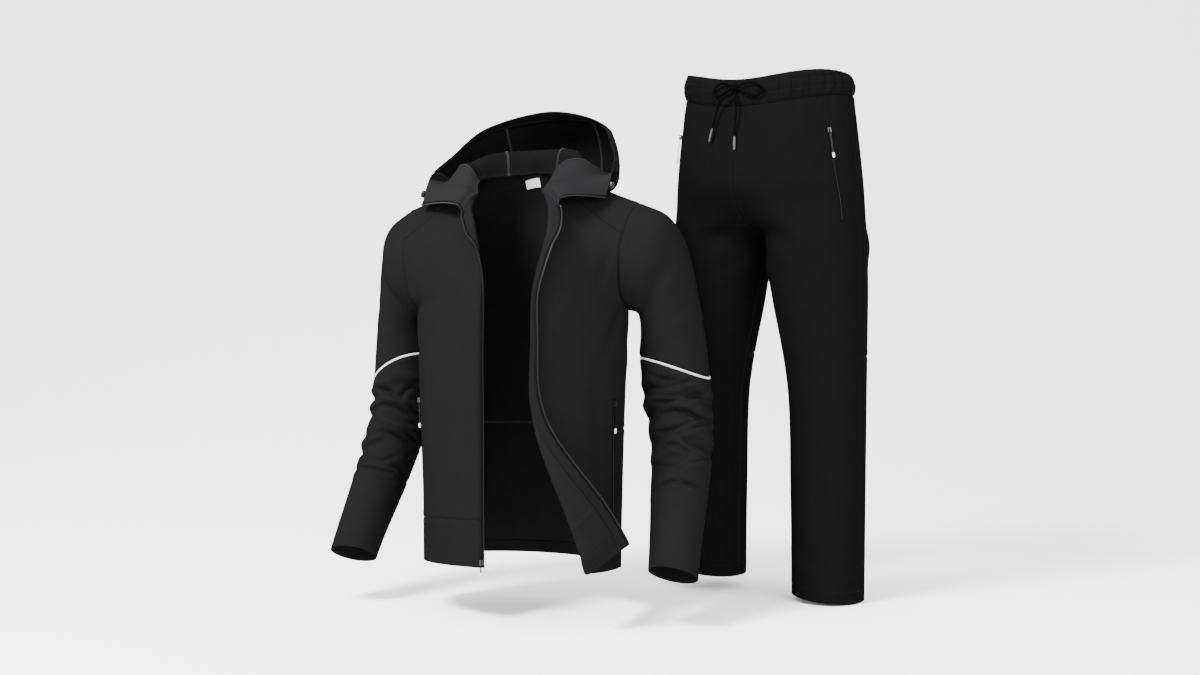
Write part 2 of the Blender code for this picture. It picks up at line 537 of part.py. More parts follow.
def blocks(name, cuts, gone, frame, paint):
    """A small part made of filled cells between cuts along its three axes."""
    xs, ys, zs = [np.array(c) for c in cuts]
    shape = (len(xs) - 1, len(ys) - 1, len(zs) - 1)
    full = np.ones(shape, bool)
    for cell in gone:
        full[cell] = False
    index = {}
    verts = []
    faces = []

    def at(i, j, k):
        if (i, j, k) not in index:
            index[(i, j, k)] = len(verts)
            verts.append((xs[i], ys[j], zs[k]))
        return index[(i, j, k)]

    sides = {
        (1, 0, 0): ((1, 0, 0), (1, 1, 0), (1, 1, 1), (1, 0, 1)), (-1, 0, 0): ((0, 0, 0), (0, 0, 1), (0, 1, 1), (0, 1, 0)),
        (0, 1, 0): ((0, 1, 0), (0, 1, 1), (1, 1, 1), (1, 1, 0)), (0, -1, 0): ((0, 0, 0), (1, 0, 0), (1, 0, 1), (0, 0, 1)),
        (0, 0, 1): ((0, 0, 1), (1, 0, 1), (1, 1, 1), (0, 1, 1)), (0, 0, -1): ((0, 0, 0), (0, 1, 0), (1, 1, 0), (1, 0, 0)),
    }
    for i, j, k in np.argwhere(full):
        for step, corners in sides.items():
            n = (i + step[0], j + step[1], k + step[2])
            if all(0 <= n[a] < shape[a] for a in range(3)) and full[n]:
                continue
            faces.append([at(i + c[0], j + c[1], k + c[2]) for c in corners])
    at_point, x, y, z = frame
    local = np.array(verts)
    world = at_point + local[:, :1] * x + local[:, 1:2] * y + local[:, 2:3] * z
    return body(name, world, faces, paint)


def seat(point, out, along):
    """A frame on the cloth: x along, y across, z out."""
    z = unit(out)
    x = unit(along - (along * z).sum() * z)
    return point, x, np.cross(z, x), z


def cord(name, points, thick, paint):
    curve = bpy.data.curves.new(name, "CURVE")
    curve.dimensions = "3D"
    curve.bevel_depth = thick / 2
    curve.bevel_resolution = 2
    curve.use_fill_caps = True
    line = curve.splines.new("POLY")
    line.points.add(len(points) - 1)
    for k, p in enumerate(points):
        line.points[k].co = (*p, 1)
    obj = bpy.data.objects.new(name, curve)
    bpy.context.scene.collection.objects.link(obj)
    curve.materials.append(paint)
    return obj


def rod(name, a, b, radii, paint, sides=10):
    """A round bar from a to b, its radii given at equal steps."""
    axis = unit(b - a)
    x = unit(np.cross(axis, np.array([0.3, 1.0, 0.2])))
    y = np.cross(axis, x)
    turn = np.linspace(0, 2 * np.pi, sides, endpoint=False)
    verts = []
    for k, r in enumerate(radii):
        c = a + (b - a) * k / (len(radii) - 1)
        verts += [c + r * (np.cos(t) * x + np.sin(t) * y) for t in turn]
    faces = [list(range(sides))[::-1], [len(verts) - sides + k for k in range(sides)]]
    for i in range(len(radii) - 1):
        for j in range(sides):
            k = (j + 1) % sides
            faces.append((i * sides + j, i * sides + k, (i + 1) * sides + k, (i + 1) * sides + j))
    return body(name, verts, faces, paint)


shell = material("shell_cloth", (0.030, 0.030, 0.032))
fleece = material("fleece_lined_cloth", (0.022, 0.022, 0.023), 0.95)
trouser_cloth = material("trouser_cloth", (0.020, 0.020, 0.022))
piping_paint = material("reflective_piping", (0.72, 0.73, 0.74), 0.4)
tape_paint = material("zip_tape", (0.028, 0.028, 0.030), 0.6)
zip_metal = material("zip_slider_metal", (0.10, 0.10, 0.105), 0.35, 0.9)
pull_paint = material("pull_rubber", (0.02, 0.02, 0.02), 0.5)
tip_paint = material("white_pull_tip", (0.80, 0.80, 0.80), 0.45)
label_paint = material("blank_label", (0.82, 0.82, 0.82), 0.7)
cord_paint = material("drawcord", (0.015, 0.015, 0.016), 0.8)
cord_metal = material("drawcord_tip_metal", (0.35, 0.35, 0.36), 0.3, 1.0)

ring_at = UNDERARM + 0.664 * np.arange(SLEEVE_STEPS + 1) / SLEEVE_STEPS
side_at = np.linspace(HEM_BAND, UNDERARM, 10)
front_v = np.concatenate([side_at, ring_at[1:ARM_FRONT + 1]])
band_rows = np.linspace(0, HEM_BAND, 3)
# columns are closer together towards the rolled edge
us = np.array([0, 0.2, 0.4, 0.58, 0.72, 0.82, 0.89, 0.945, 1.0])
insert_rows = np.linspace(0, 1, HALF_RING - ARM_FRONT + 1)

for side, flip in (("left", -1), ("right", 1)):
    panel(f"front_{side}", sheet(side, us[None, :], front_place(us[None, :], front_v[:, None])), flip, shell)
    panel(f"front_hem_band_{side}", sheet(side, us[None, :], band_rows[:, None]), flip, shell)
    start = insert_seam(us[None, :])
    panel(f"shoulder_insert_{side}", sheet(side, us[None, :], start + (SHOULDER - start) * insert_rows[:, None]),
          flip, shell)

# the back is one piece from side to side above its seam and one below
neck_back = np.array([0.8, 0.825, 0.85, 0.865, 0.8825, 0.9])
half_q = np.concatenate([0.33 + 0.67 * (1 - us[:-1]), [0.33, 0.315, 0.275, 0.19, 0.09, 0.0]])
half_u = np.concatenate([us[:-1], np.ones(6)])
half_l = np.concatenate([np.full(len(us) - 1, SHOULDER), neck_back])
blend_rows = ring_at[HALF_RING:HALF_RING + 6]
back_rows = np.concatenate([ring_at[HALF_RING + 6:], 1.6 - side_at[::-1][1:]])
q = np.concatenate([-half_q[:-1], half_q[::-1]])
top_u = np.concatenate([half_u[:-1], half_u[::-1]])
top_l = np.concatenate([half_l[:-1], half_l[::-1]])
low_u = 1 - np.abs(q)
share = ((blend_rows - SHOULDER) / (blend_rows[-1] - SHOULDER))[:, None]
back_u = np.concatenate([top_u + (low_u - top_u) * share, np.tile(low_u, (len(back_rows), 1))])
back_l = np.concatenate([top_l + (blend_rows[-1] - top_l) * share, np.tile(back_rows[:, None], (1, len(q)))])
hem_rows = (1.6 - band_rows[::-1])[1:]
back_u = np.concatenate([back_u, np.tile(low_u, (len(hem_rows), 1))])
back_l = np.concatenate([back_l, np.tile(hem_rows[:, None], (1, len(q)))])
back = np.where((q > 0)[None, :, None], torso("left", back_u, back_l), torso("right", back_u, back_l))
split = HALF_RING + BACK_SEAM
panel("back_upper", back[:split + 1], 1, shell)
panel("back_lower", back[split:], 1, shell)

# sleeves
around = ring_at[:-1]
pipe = piping_place(around)
pipe_low = pipe + PIPING_WIDE / 0.103
upper = np.concatenate([np.linspace(0, 3.3, 7)[:, None] + 0 * pipe, (3.3 + (pipe - 3.3) * 0.5)[None], pipe[None]])
rows = np.linspace(0, 1, 14)[:, None]
lower = pipe_low * (1 - rows) + 8.4 * rows
for side, flip in (("left", -1), ("right", 1)):
    panel(f"sleeve_upper_{side}", sleeve(side, around + 0 * upper, upper), flip, shell, True, 0.0012)
    panel(f"piping_{side}", sleeve(side, around + np.zeros((2, 1)), np.stack([pipe, pipe_low])), flip,
          piping_paint, True)
    panel(f"sleeve_lower_{side}", sleeve(side, around + 0 * lower, lower), flip, shell, True)

# hood
front_neck = front_place(np.array(1.0), ring_at[ARM_FRONT - 2:ARM_FRONT + 1])
neck_at = np.concatenate([front_neck, (INSERT_AT_NECK + (SHOULDER - INSERT_AT_NECK) * insert_rows)[1:], neck_back[1:]])
side_end = len(neck_at) - 2
hood_v = np.array([0, 0.6, 1.2, 1.6, 2.0, 2.4, 2.9, 3.6, 4.3, 5.0, 5.7, 6.4, 7.0, 7.65, CASING_AT])
collar_v = np.concatenate([hood_v, [9.0]])
casing_v = np.array([CASING_AT, 8.65, 9.0])
for side, flip in (("left", 1), ("right", -1)):
    panel(f"collar_{side}", hood(side, neck_at[None, :3], collar_v[:, None]), flip, shell)
    panel(f"hood_side_{side}", hood(side, neck_at[None, 2:side_end], hood_v[:, None]), flip, fleece)
panel("hood_centre", np.concatenate([
    hood("left", neck_at[None, side_end - 1:], hood_v[:, None]),
    hood("right", neck_at[None, side_end - 1:-1][:, ::-1], hood_v[:, None]),
], axis=1), 1, fleece)
panel("hood_edge_casing", np.concatenate([
    hood("left", neck_at[None, 2:], casing_v[:, None]),
    hood("right", neck_at[None, 2:-1][:, ::-1], casing_v[:, None]),
], axis=1), 1, shell)

# trousers
leg_us = np.linspace(0, 1, LEG_COLUMNS + 1)
steps = np.array(LEG_STEPS)
for side, sign in (("left", 1), ("right", -1)):
    panel(f"trouser_front_{side}", leg(side, "front", leg_us[None, :], steps[:, None]), sign, trouser_cloth)
    panel(f"trouser_back_{side}", leg(side, "back", leg_us[None, :], steps[:KNEE_SEAM + 1, None]), -sign, trouser_cloth)
    panel(f"trouser_back_knee_{side}", leg(side, "back", leg_us[None, :], steps[KNEE_SEAM:, None]), -sign, trouser_cloth)
around_waist = np.linspace(-np.pi, np.pi, 64, endpoint=False)
panel("waistband", band(around_waist[None, :], np.array([0, 0.3, 0.7, 1])[:, None]), 1, trouser_cloth, True, 0.0007)

thicken_all()


def on_panel(name, columns, rows, u, l):
    """Points of a built panel and the direction of its wall, between its own columns and rows."""
    u, l = np.broadcast_arrays(np.asarray(u, float), np.asarray(l, float))
    j = np.clip(np.searchsorted(columns, u, side="right") - 1, 0, len(columns) - 2)
    i = np.clip(np.searchsorted(rows, l, side="right") - 1, 0, len(rows) - 2)
    a = ((u - columns[j]) / (columns[j + 1] - columns[j]))[..., None]
    b = ((l - rows[i]) / (rows[i + 1] - rows[i]))[..., None]
    p, n = [
        BUILT[name][k][i, j] * (1 - a) * (1 - b) + BUILT[name][k][i, j + 1] * a * (1 - b)
        + BUILT[name][k][i + 1, j] * (1 - a) * b + BUILT[name][k][i + 1, j + 1] * a * b
        for k in ("placed", "walls")
    ]
    return p, unit(n)


def laid(name, points, walls, out, wall, paint):
    """A strip lying on a panel: the panel's own points, moved out."""
    return solid(name, points + walls * out, walls, wall, paint)


def pull(name, frame, high, length, tip):
    """A slider with its bridge, and the tab hanging from it with a moulded tip."""
    point, x, y, z = frame
    frame = (point + z * high, x, y, z)
    gone = [(i, j, k) for k in (1, 2) for i in range(3) for j in (0, 2)] + [(1, 1, 1)]
    blocks(f"{name}_slider", ((-0.0045, -0.0028, 0.0028, 0.0045), (-0.0035, -0.0007, 0.0007, 0.0035),
                              (0, 0.003, 0.0047, 0.0059)), gone, frame, zip_metal)
    blocks(f"{name}_pull", ((-0.0005, 0.0005, 0.0062, 0.0078, length), (-0.0018, -0.0012, 0.0012, 0.0018),
                            (0.0033, 0.0043)), [(1, 1, 0), (3, 0, 0), (3, 2, 0)], frame, pull_paint)
    a = frame[0] + x * (length + SEAM_GAP) + z * 0.0038
    rod(f"{name}_pull_tip", a, a + x * tip, (0.0016, 0.0024, 0.0025, 0.0024, 0.0015), tip_paint, 8)
    HINGES[name] = (frame[0] + z * 0.0038, -y)


HINGES = {}

# zips along the open edges, running on up the collar, and the facing inside each edge
BUILT = {p["name"]: p for p in PANELS}
for side, sign in (("left", 1), ("right", -1)):
    low, high, collar = [BUILT[f"{n}_{side}"] for n in ("front_hem_band", "front", "collar")]
    cut = 10 + ARM_FRONT - 2
    grids = [np.concatenate([low[k][:-1], high[k][:cut]]) for k in ("mid", "walls")]
    edge = np.concatenate([grids[0][:, -1], collar["mid"][1:, 0]])
    inside = np.concatenate([grids[0][:, -2], collar["mid"][1:, 1]])
    n = np.concatenate([grids[1][:, -1], collar["walls"][1:, 0]])
    along = unit(np.gradient(edge, axis=0))
    away = edge - inside
    away = away - (away * along).sum(-1, keepdims=True) * along
    away = unit(away - (away * n).sum(-1, keepdims=True) * n)
    strip = edge[:, None, :] + away[:, None, :] * np.array([0.0003, 0.0058])[None, :, None]
    solid(f"zip_{side}", strip, np.repeat(n[:, None, :], 2, axis=1), 0.0022, tape_paint)
    if side == "right":
        point = edge[0] + away[0] * 0.0030 + along[0] * 0.010
        pull("main_zip", seat(point, n[0], -along[0]), 0.0014, 0.018, 0.006)
    end = cut + 2 if side == "left" else 12
    face, walls = grids[0][:end, -2:].copy(), grids[1][:end, -2:]
    face[:, -1] += unit(face[:, 0] - face[:, -1]) * 0.0006
    face[0] += unit(face[1] - face[0]) * 0.001
    deep = 0.0019 if side == "left" else 0.0009
    solid(f"front_facing_{side}", face - walls * (WALL / 2 + deep), walls, 0.001, shell)

# pockets, one at each side of the front
for side, sign in (("left", 1), ("right", -1)):
    at_l = np.concatenate([[0.085], front_v[(front_v > 0.085) & (front_v < 0.305)], [0.305]])
    middle_u = 0.165 - 0.045 * (0.305 - at_l) / 0.22
    half_u = 0.0035 / width(side, at_l)
    points, walls = on_panel(f"front_{side}", us, front_v, middle_u[:, None] + half_u[:, None] * np.array([-1.0, 1.0]),
                             at_l[:, None])
    laid(f"pocket_zip_{side}", points, walls, WALL / 2 + SEAM_GAP + 0.0005, 0.001, tape_paint)
    point, out = on_panel(f"front_{side}", us, front_v, 0.163, 0.296)
    down = on_panel(f"front_{side}", us, front_v, 0.155, 0.256)[0] - point
    pull(f"pocket_{side}", seat(point, out, down), WALL / 2 + 2 * SEAM_GAP + 0.0013, 0.044, 0.009)

# blank label at the back of the neck
label_x = np.linspace(-0.023, 0.003, 4)
label_l = np.linspace(0.906, 0.920, 3)[:, None]
label_u = 1 - np.abs(label_x) / 0.226
lp = np.where((label_x > 0)[None, :, None], torso("left", label_u[None], label_l), torso("right", label_u[None], label_l))
ln = unit(np.cross(np.gradient(lp, axis=1), np.gradient(lp, axis=0)))
solid("neck_label", lp - ln * (WALL / 2 + 0.0016), ln, 0.0006, label_paint)

# cord toggles on the hood's edge
for side, sign in (("left", 1), ("right", -1)):
    p = hood(side, 0.664, 9.0)
    a = p + unit(p - hood(side, 0.664, 8.7)) * 0.0041 + np.array([0, 0, 0.004])
    rod(f"hood_toggle_{side}", a, a + np.array([sign * 0.003, -0.002, -0.013]), (0.0035, 0.0048, 0.0048, 0.0035), pull_paint, 8)

# trouser pockets
for side, sign in (("left", 1), ("right", -1)):
    at_t = np.concatenate([[0.75], steps[(steps > 0.75) & (steps < 3.8)], [3.8]])
    middle_u = 0.30 - 0.11 * (at_t - 0.75) / 3.05
    points, walls = on_panel(f"trouser_front_{side}", leg_us, steps,
                             middle_u[:, None] + 0.014 * np.array([-1.0, 1.0]), at_t[:, None])
    laid(f"trouser_pocket_zip_{side}", points, walls, WALL / 2 + SEAM_GAP + 0.0011, 0.001, tape_paint)
    point, out = on_panel(f"trouser_front_{side}", leg_us, steps, 0.298, 0.80)
    down = on_panel(f"trouser_front_{side}", leg_us, steps, 0.284, 1.25)[0] - point
    pull(f"trouser_pocket_{side}", seat(point, out, down), WALL / 2 + 2 * SEAM_GAP + 0.0016, 0.044, 0.009)

# drawcord tied in a bow
BOW = {
    "drawcord_loop_right": [(-0.0084, -0.1300, 0.1789), (-0.020, -0.1290, 0.185), (-0.032, -0.1285, 0.185),
                            (-0.043, -0.1270, 0.181), (-0.049, -0.1262, 0.173), (-0.046, -0.1275, 0.164),
                            (-0.037, -0.1300, 0.160), (-0.026, -0.1325, 0.164), (-0.0084, -0.1330, 0.1733)],
    "drawcord_loop_left": [(0.0084, -0.1300, 0.1789), (0.022, -0.1290, 0.185), (0.036, -0.1280, 0.185),
                           (0.050, -0.1255, 0.181), (0.058, -0.1245, 0.173), (0.053, -0.1260, 0.163),
                           (0.041, -0.1295, 0.160), (0.028, -0.1325, 0.164), (0.0084, -0.1330, 0.1733)],
    "drawcord_end_right": [(-0.0032, -0.1328, 0.1690), (-0.0042, -0.1342, 0.1655), (-0.014, -0.1370, 0.160), (-0.027, -0.1365, 0.154),
                           (-0.034, -0.1345, 0.144), (-0.039, -0.1340, 0.130), (-0.043, -0.1345, 0.115),
                           (-0.047, -0.1350, 0.100)],
    "drawcord_end_left": [(0.0028, -0.1328, 0.1690), (0.0034, -0.1342, 0.1650), (0.005, -0.1365, 0.155), (0.007, -0.1375, 0.143),
                          (0.007, -0.1380, 0.128), (0.006, -0.1385, 0.112), (0.005, -0.1390, 0.096),
                          (0.005, -0.1395, 0.082)],
}
bow_in = np.array([0, BOW_IN, 0])
for name, points in BOW.items():
    cord(name, turned(np.array(points) + bow_in), 0.004, cord_paint)
for side in ("right", "left"):
    points = turned(np.array(BOW[f"drawcord_end_{side}"]) + bow_in)
    way = unit(points[-1] - points[-2])
    rod(f"drawcord_tip_{side}", points[-1] + way * SEAM_GAP, points[-1] + way * 0.026,
        (0.0021, 0.0026, 0.0026, 0.0021), cord_metal, 8)
knot = turned(np.array([(-0.0075, -0.1315, 0.176), (0.0075, -0.1315, 0.176)]) + bow_in)
rod("drawcord_knot", knot[0], knot[1], (0.0035, 0.0062, 0.0070, 0.0062, 0.0035), cord_paint)
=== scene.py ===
# The tracksuit's look: fine cloth on the part's own form, with its sewing, zips, piping and cords.
import json

import bpy
import numpy as np
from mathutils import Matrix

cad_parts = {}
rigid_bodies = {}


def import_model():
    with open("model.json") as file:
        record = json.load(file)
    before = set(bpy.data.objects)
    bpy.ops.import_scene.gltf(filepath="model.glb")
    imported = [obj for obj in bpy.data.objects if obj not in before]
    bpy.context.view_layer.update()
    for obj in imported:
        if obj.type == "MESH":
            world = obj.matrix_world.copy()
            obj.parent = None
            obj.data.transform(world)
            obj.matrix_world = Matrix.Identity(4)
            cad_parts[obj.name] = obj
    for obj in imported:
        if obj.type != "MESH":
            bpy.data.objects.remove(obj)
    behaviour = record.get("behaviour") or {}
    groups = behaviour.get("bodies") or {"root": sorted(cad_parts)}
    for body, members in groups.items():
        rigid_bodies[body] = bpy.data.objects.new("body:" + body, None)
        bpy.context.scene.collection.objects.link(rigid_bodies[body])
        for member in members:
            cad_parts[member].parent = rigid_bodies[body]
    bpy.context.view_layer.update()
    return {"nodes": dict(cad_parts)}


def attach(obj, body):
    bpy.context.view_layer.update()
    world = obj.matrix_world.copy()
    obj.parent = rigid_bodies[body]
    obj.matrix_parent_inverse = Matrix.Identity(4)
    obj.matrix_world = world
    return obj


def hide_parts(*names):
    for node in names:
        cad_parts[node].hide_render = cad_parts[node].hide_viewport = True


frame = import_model()
print("frame loaded")

# the jacket's sizes in metres; places run up the front, over the shoulder and down the back
cut = {
    "wall": 0.002, "underarm": 0.468, "shoulder": 0.8, "backNeck": 0.9, "hemBand": 0.075,
    "insertAtArm": 0.6672, "insertAtNeck": 0.735, "collarFrom": 0.6298, "sideTo": 0.865,
    "backSeam": 1.3503, "armRound": 0.664, "turnRadius": 0.007, "turnAngle": np.radians(145),
    "pipingAt": (4.02, 0.51), "pipingWide": 0.0042, "pipingSlant": 0.12, "pipingRow": 0.103, "tuckIn": 0.0006,
    "casingAt": 8.3, "cuffAt": 8.4,
}
# bandTop: the rim's half width, half depth in front and behind, heights in front, at the side, behind;
# bowIn: how far the bow is pushed in against the band
trousers = {
    "turn": np.radians(-15), "at": (0.388, 0.332), "columns": 64, "kneeSeam": 7.65, "gathers": 34,
    "bandTop": (0.168, 0.113, 0.108, 0.194, 0.217, 0.243), "bowIn": 0.0036,
}

# the jacket's sections: place, side point, direction there, edge or centre point, direction there
frontRows = [
    (0.000, 0.195, 0.010, -0.722, 0.00, -0.205, 0.0, 0.013, -0.135, -0.713, -0.285, 0.0, 0.0),
    (0.075, 0.196, 0.010, -0.643, 0.00, -0.205, 0.0, 0.013, -0.136, -0.628, -0.285, 0.0, 0.0),
    (0.235, 0.200, 0.010, -0.483, 0.00, -0.205, 0.0, 0.013, -0.136, -0.468, -0.290, 0.0, 0.0),
    (0.400, 0.208, 0.010, -0.318, 0.00, -0.200, 0.0, 0.013, -0.138, -0.303, -0.290, 0.0, 0.0),
    (0.468, 0.211, 0.010, -0.250, 0.00, -0.180, 0.0, 0.013, -0.135, -0.235, -0.280, 0.0, 0.0),
    (0.525, 0.213, -0.030, -0.226, -0.05, -0.130, 0.0, 0.013, -0.130, -0.178, -0.260, 0.0, 0.02),
    (0.580, 0.217, -0.050, -0.180, -0.10, -0.100, 0.0, 0.013, -0.120, -0.123, -0.220, 0.01, 0.04),
    (0.605, 0.219, -0.052, -0.160, -0.11, -0.080, 0.01, 0.013, -0.113, -0.098, -0.200, 0.02, 0.06),
    (0.650, 0.222, -0.048, -0.130, -0.14, -0.050, 0.03, 0.040, -0.085, -0.058, -0.160, 0.03, 0.09),
    (0.720, 0.229, -0.028, -0.086, -0.16, -0.020, 0.06, 0.070, -0.035, -0.016, -0.150, 0.02, 0.06),
    (0.800, 0.236, 0.010, -0.059, -0.16, 0.000, 0.06, 0.078, 0.015, 0.000, -0.150, 0.00, 0.05),
]
backRows = [
    (0.850, 0.232, 0.040, -0.073, -0.16, 0.020, 0.06, 0.066, 0.048, 0.006, -0.150, 0.02, 0.04),
    (0.900, 0.226, 0.062, -0.098, -0.15, 0.040, 0.05, 0.000, 0.080, 0.013, -0.240, 0.03, 0.03),
    (0.950, 0.222, 0.074, -0.130, -0.13, 0.060, 0.02, 0.000, 0.104, -0.045, -0.230, 0.0, 0.0),
    (1.010, 0.218, 0.076, -0.175, -0.11, 0.080, 0.0, 0.000, 0.117, -0.105, -0.240, 0.0, 0.0),
    (1.075, 0.213, 0.050, -0.226, -0.06, 0.100, 0.0, 0.000, 0.124, -0.172, -0.250, 0.0, 0.0),
    (1.132, 0.211, 0.010, -0.250, 0.00, 0.150, 0.0, 0.000, 0.125, -0.240, -0.280, 0.0, 0.0),
    (1.200, 0.208, 0.010, -0.318, 0.00, 0.160, 0.0, 0.000, 0.122, -0.310, -0.290, 0.0, 0.0),
    (1.365, 0.200, 0.010, -0.483, 0.00, 0.165, 0.0, 0.000, 0.116, -0.480, -0.290, 0.0, 0.0),
    (1.525, 0.196, 0.010, -0.643, 0.00, 0.170, 0.0, 0.000, 0.122, -0.645, -0.285, 0.0, 0.0),
    (1.600, 0.195, 0.010, -0.722, 0.00, 0.170, 0.0, 0.000, 0.126, -0.722, -0.285, 0.0, 0.0),
]
# the open left front instead: place, direction at the side, edge point, direction there
swungRows = [
    (0.000, 0.0, -0.270, 0.0, 0.204, -0.262, -0.700, 0.00, -0.270, 0.0),
    (0.075, 0.0, -0.270, 0.0, 0.170, -0.257, -0.625, -0.06, -0.250, 0.0),
    (0.150, 0.0, -0.265, 0.0, 0.144, -0.249, -0.550, -0.12, -0.210, 0.0),
    (0.235, 0.0, -0.260, 0.0, 0.115, -0.236, -0.466, -0.17, -0.160, 0.0),
    (0.320, 0.0, -0.250, 0.0, 0.111, -0.222, -0.382, -0.19, -0.120, 0.0),
    (0.400, 0.0, -0.240, 0.0, 0.109, -0.210, -0.303, -0.20, -0.100, 0.0),
    (0.468, 0.0, -0.220, 0.0, 0.104, -0.195, -0.235, -0.20, -0.080, 0.0),
    (0.525, -0.04, -0.160, 0.0, 0.103, -0.178, -0.178, -0.18, -0.060, 0.02),
    (0.580, -0.09, -0.120, 0.0, 0.099, -0.156, -0.123, -0.16, -0.040, 0.04),
    (0.605, -0.10, -0.090, 0.01, 0.094, -0.143, -0.098, -0.15, -0.030, 0.06),
    (0.650, -0.13, -0.060, 0.03, 0.084, -0.098, -0.058, -0.14, -0.010, 0.08),
    (0.720, -0.16, -0.020, 0.06, 0.078, -0.038, -0.018, -0.14, 0.015, 0.06),
    (0.800, -0.16, 0.000, 0.06, 0.078, 0.015, 0.000, -0.15, 0.00, 0.05),
]
# how wide a strip of each front is turned back: place, width
turnLeft = [
    (0.0, 0.101), (0.075, 0.078), (0.15, 0.055), (0.235, 0.034), (0.30, 0.0240), (0.40, 0.0195), (0.50, 0.0205),
    (0.56, 0.026), (0.605, 0.033), (0.65, 0.024), (0.70, -0.01), (0.80, -0.05),
]
turnRight = [
    (0.0, -0.20), (0.38, -0.02), (0.43, -0.003), (0.48, 0.003), (0.53, 0.008), (0.57, 0.015), (0.605, 0.027),
    (0.65, 0.022), (0.70, -0.01), (0.80, -0.05),
]
# the sleeve: place, outermost point, innermost point, half its depth
sleeveRows = [
    (1.0, 0.280, 0.038, -0.082, 0.228, 0.026, -0.258, 0.070),
    (2.0, 0.306, 0.056, -0.130, 0.228, 0.046, -0.277, 0.069),
    (3.0, 0.323, 0.066, -0.212, 0.224, 0.060, -0.303, 0.068),
    (4.0, 0.338, 0.071, -0.310, 0.219, 0.068, -0.336, 0.066),
    (5.0, 0.350, 0.072, -0.428, 0.226, 0.072, -0.422, 0.063),
    (6.0, 0.357, 0.050, -0.512, 0.246, 0.050, -0.506, 0.056),
    (7.0, 0.361, 0.005, -0.600, 0.261, 0.005, -0.596, 0.050),
    (8.0, 0.365, -0.044, -0.687, 0.276, -0.044, -0.683, 0.045),
    (8.4, 0.367, -0.060, -0.718, 0.280, -0.060, -0.714, 0.044),
]
# the lower sleeve's folds: height, angle round, reach round, slope, depth, width
foldsLeft = [
    (-0.392, 60, 75, 0.030, 0.0052, 0.010), (-0.410, 150, 80, -0.034, 0.0060, 0.011),
    (-0.437, 50, 80, 0.036, 0.0064, 0.011), (-0.452, 145, 75, -0.034, 0.0060, 0.011),
    (-0.480, 65, 75, 0.034, 0.0062, 0.010), (-0.498, 150, 80, -0.032, 0.0056, 0.011),
    (-0.527, 70, 80, 0.028, 0.0048, 0.011), (-0.430, 270, 85, 0.020, 0.0050, 0.012),
    (-0.475, 285, 85, -0.022, 0.0050, 0.012), (-0.400, 300, 70, -0.020, 0.0040, 0.010),
]
foldsRight = [
    (-0.398, 45, 70, 0.026, 0.0050, 0.010), (-0.418, 130, 85, -0.030, 0.0064, 0.012),
    (-0.446, 60, 80, 0.030, 0.0056, 0.010), (-0.462, 160, 75, -0.036, 0.0066, 0.011),
    (-0.492, 55, 85, 0.034, 0.0060, 0.012), (-0.520, 120, 85, -0.030, 0.0052, 0.011),
    (-0.440, 275, 85, 0.022, 0.0050, 0.012), (-0.484, 290, 85, -0.020, 0.0046, 0.012),
]
# the hood from neck seam to opening edge, nine points a row, at these places round the neck
hoodAt = (0.5975, 0.65, 0.72, 0.8, 0.85, 0.9)
hoodRows = [
    [(0.100, -0.105, -0.092), (0.112, -0.099, -0.088), (0.124, -0.093, -0.084), (0.136, -0.087, -0.080),
     (0.147, -0.080, -0.077), (0.157, -0.072, -0.074), (0.167, -0.064, -0.071), (0.175, -0.057, -0.069),
     (0.183, -0.049, -0.067)],
    [(0.100, -0.072, -0.047), (0.112, -0.066, -0.044), (0.124, -0.060, -0.042), (0.136, -0.054, -0.041),
     (0.147, -0.048, -0.041), (0.158, -0.042, -0.041), (0.169, -0.036, -0.040), (0.179, -0.031, -0.038),
     (0.188, -0.026, -0.034)],
    [(0.088, -0.032, 0.004), (0.106, -0.020, 0.016), (0.126, -0.006, 0.018), (0.144, 0.010, 0.010),
     (0.160, 0.026, 0.000), (0.174, 0.036, 0.000), (0.184, 0.030, 0.005), (0.188, 0.013, 0.009),
     (0.187, -0.002, 0.007)],
    [(0.094, 0.018, 0.026), (0.107, 0.023, 0.035), (0.118, 0.030, 0.027), (0.128, 0.045, 0.000),
     (0.144, 0.078, -0.018), (0.157, 0.098, 0.002), (0.162, 0.086, 0.032), (0.166, 0.066, 0.048),
     (0.167, 0.048, 0.051)],
    [(0.071, 0.050, 0.040), (0.079, 0.055, 0.052), (0.089, 0.066, 0.044), (0.100, 0.088, 0.006),
     (0.114, 0.121, -0.024), (0.126, 0.152, -0.008), (0.129, 0.148, 0.054), (0.127, 0.122, 0.097),
     (0.118, 0.099, 0.109)],
    [(0.000, 0.078, 0.045), (0.000, 0.085, 0.058), (0.000, 0.096, 0.047), (0.000, 0.116, 0.004),
     (0.000, 0.148, -0.030), (0.000, 0.190, -0.010), (0.000, 0.206, 0.062), (0.000, 0.176, 0.120),
     (0.000, 0.130, 0.139)],
]
# the trousers' sections from band to hem, in their own frame: place, side point, inner point
legRows = [
    (0, 0.178, 0.0, 0.173), (1, 0.188, 0.0, 0.080), (2, 0.195, 0.0, 0.000), (3, 0.198, 0.0, -0.050),
    (4, 0.200, 0.0, -0.090), (5, 0.201, 0.0, -0.125), (6, 0.201, 0.0, -0.165), (7, 0.202, 0.0, -0.230),
    (8, 0.202, 0.0, -0.400), (9, 0.200, 0.0, -0.600), (10, 0.198, 0.0, -0.787),
]
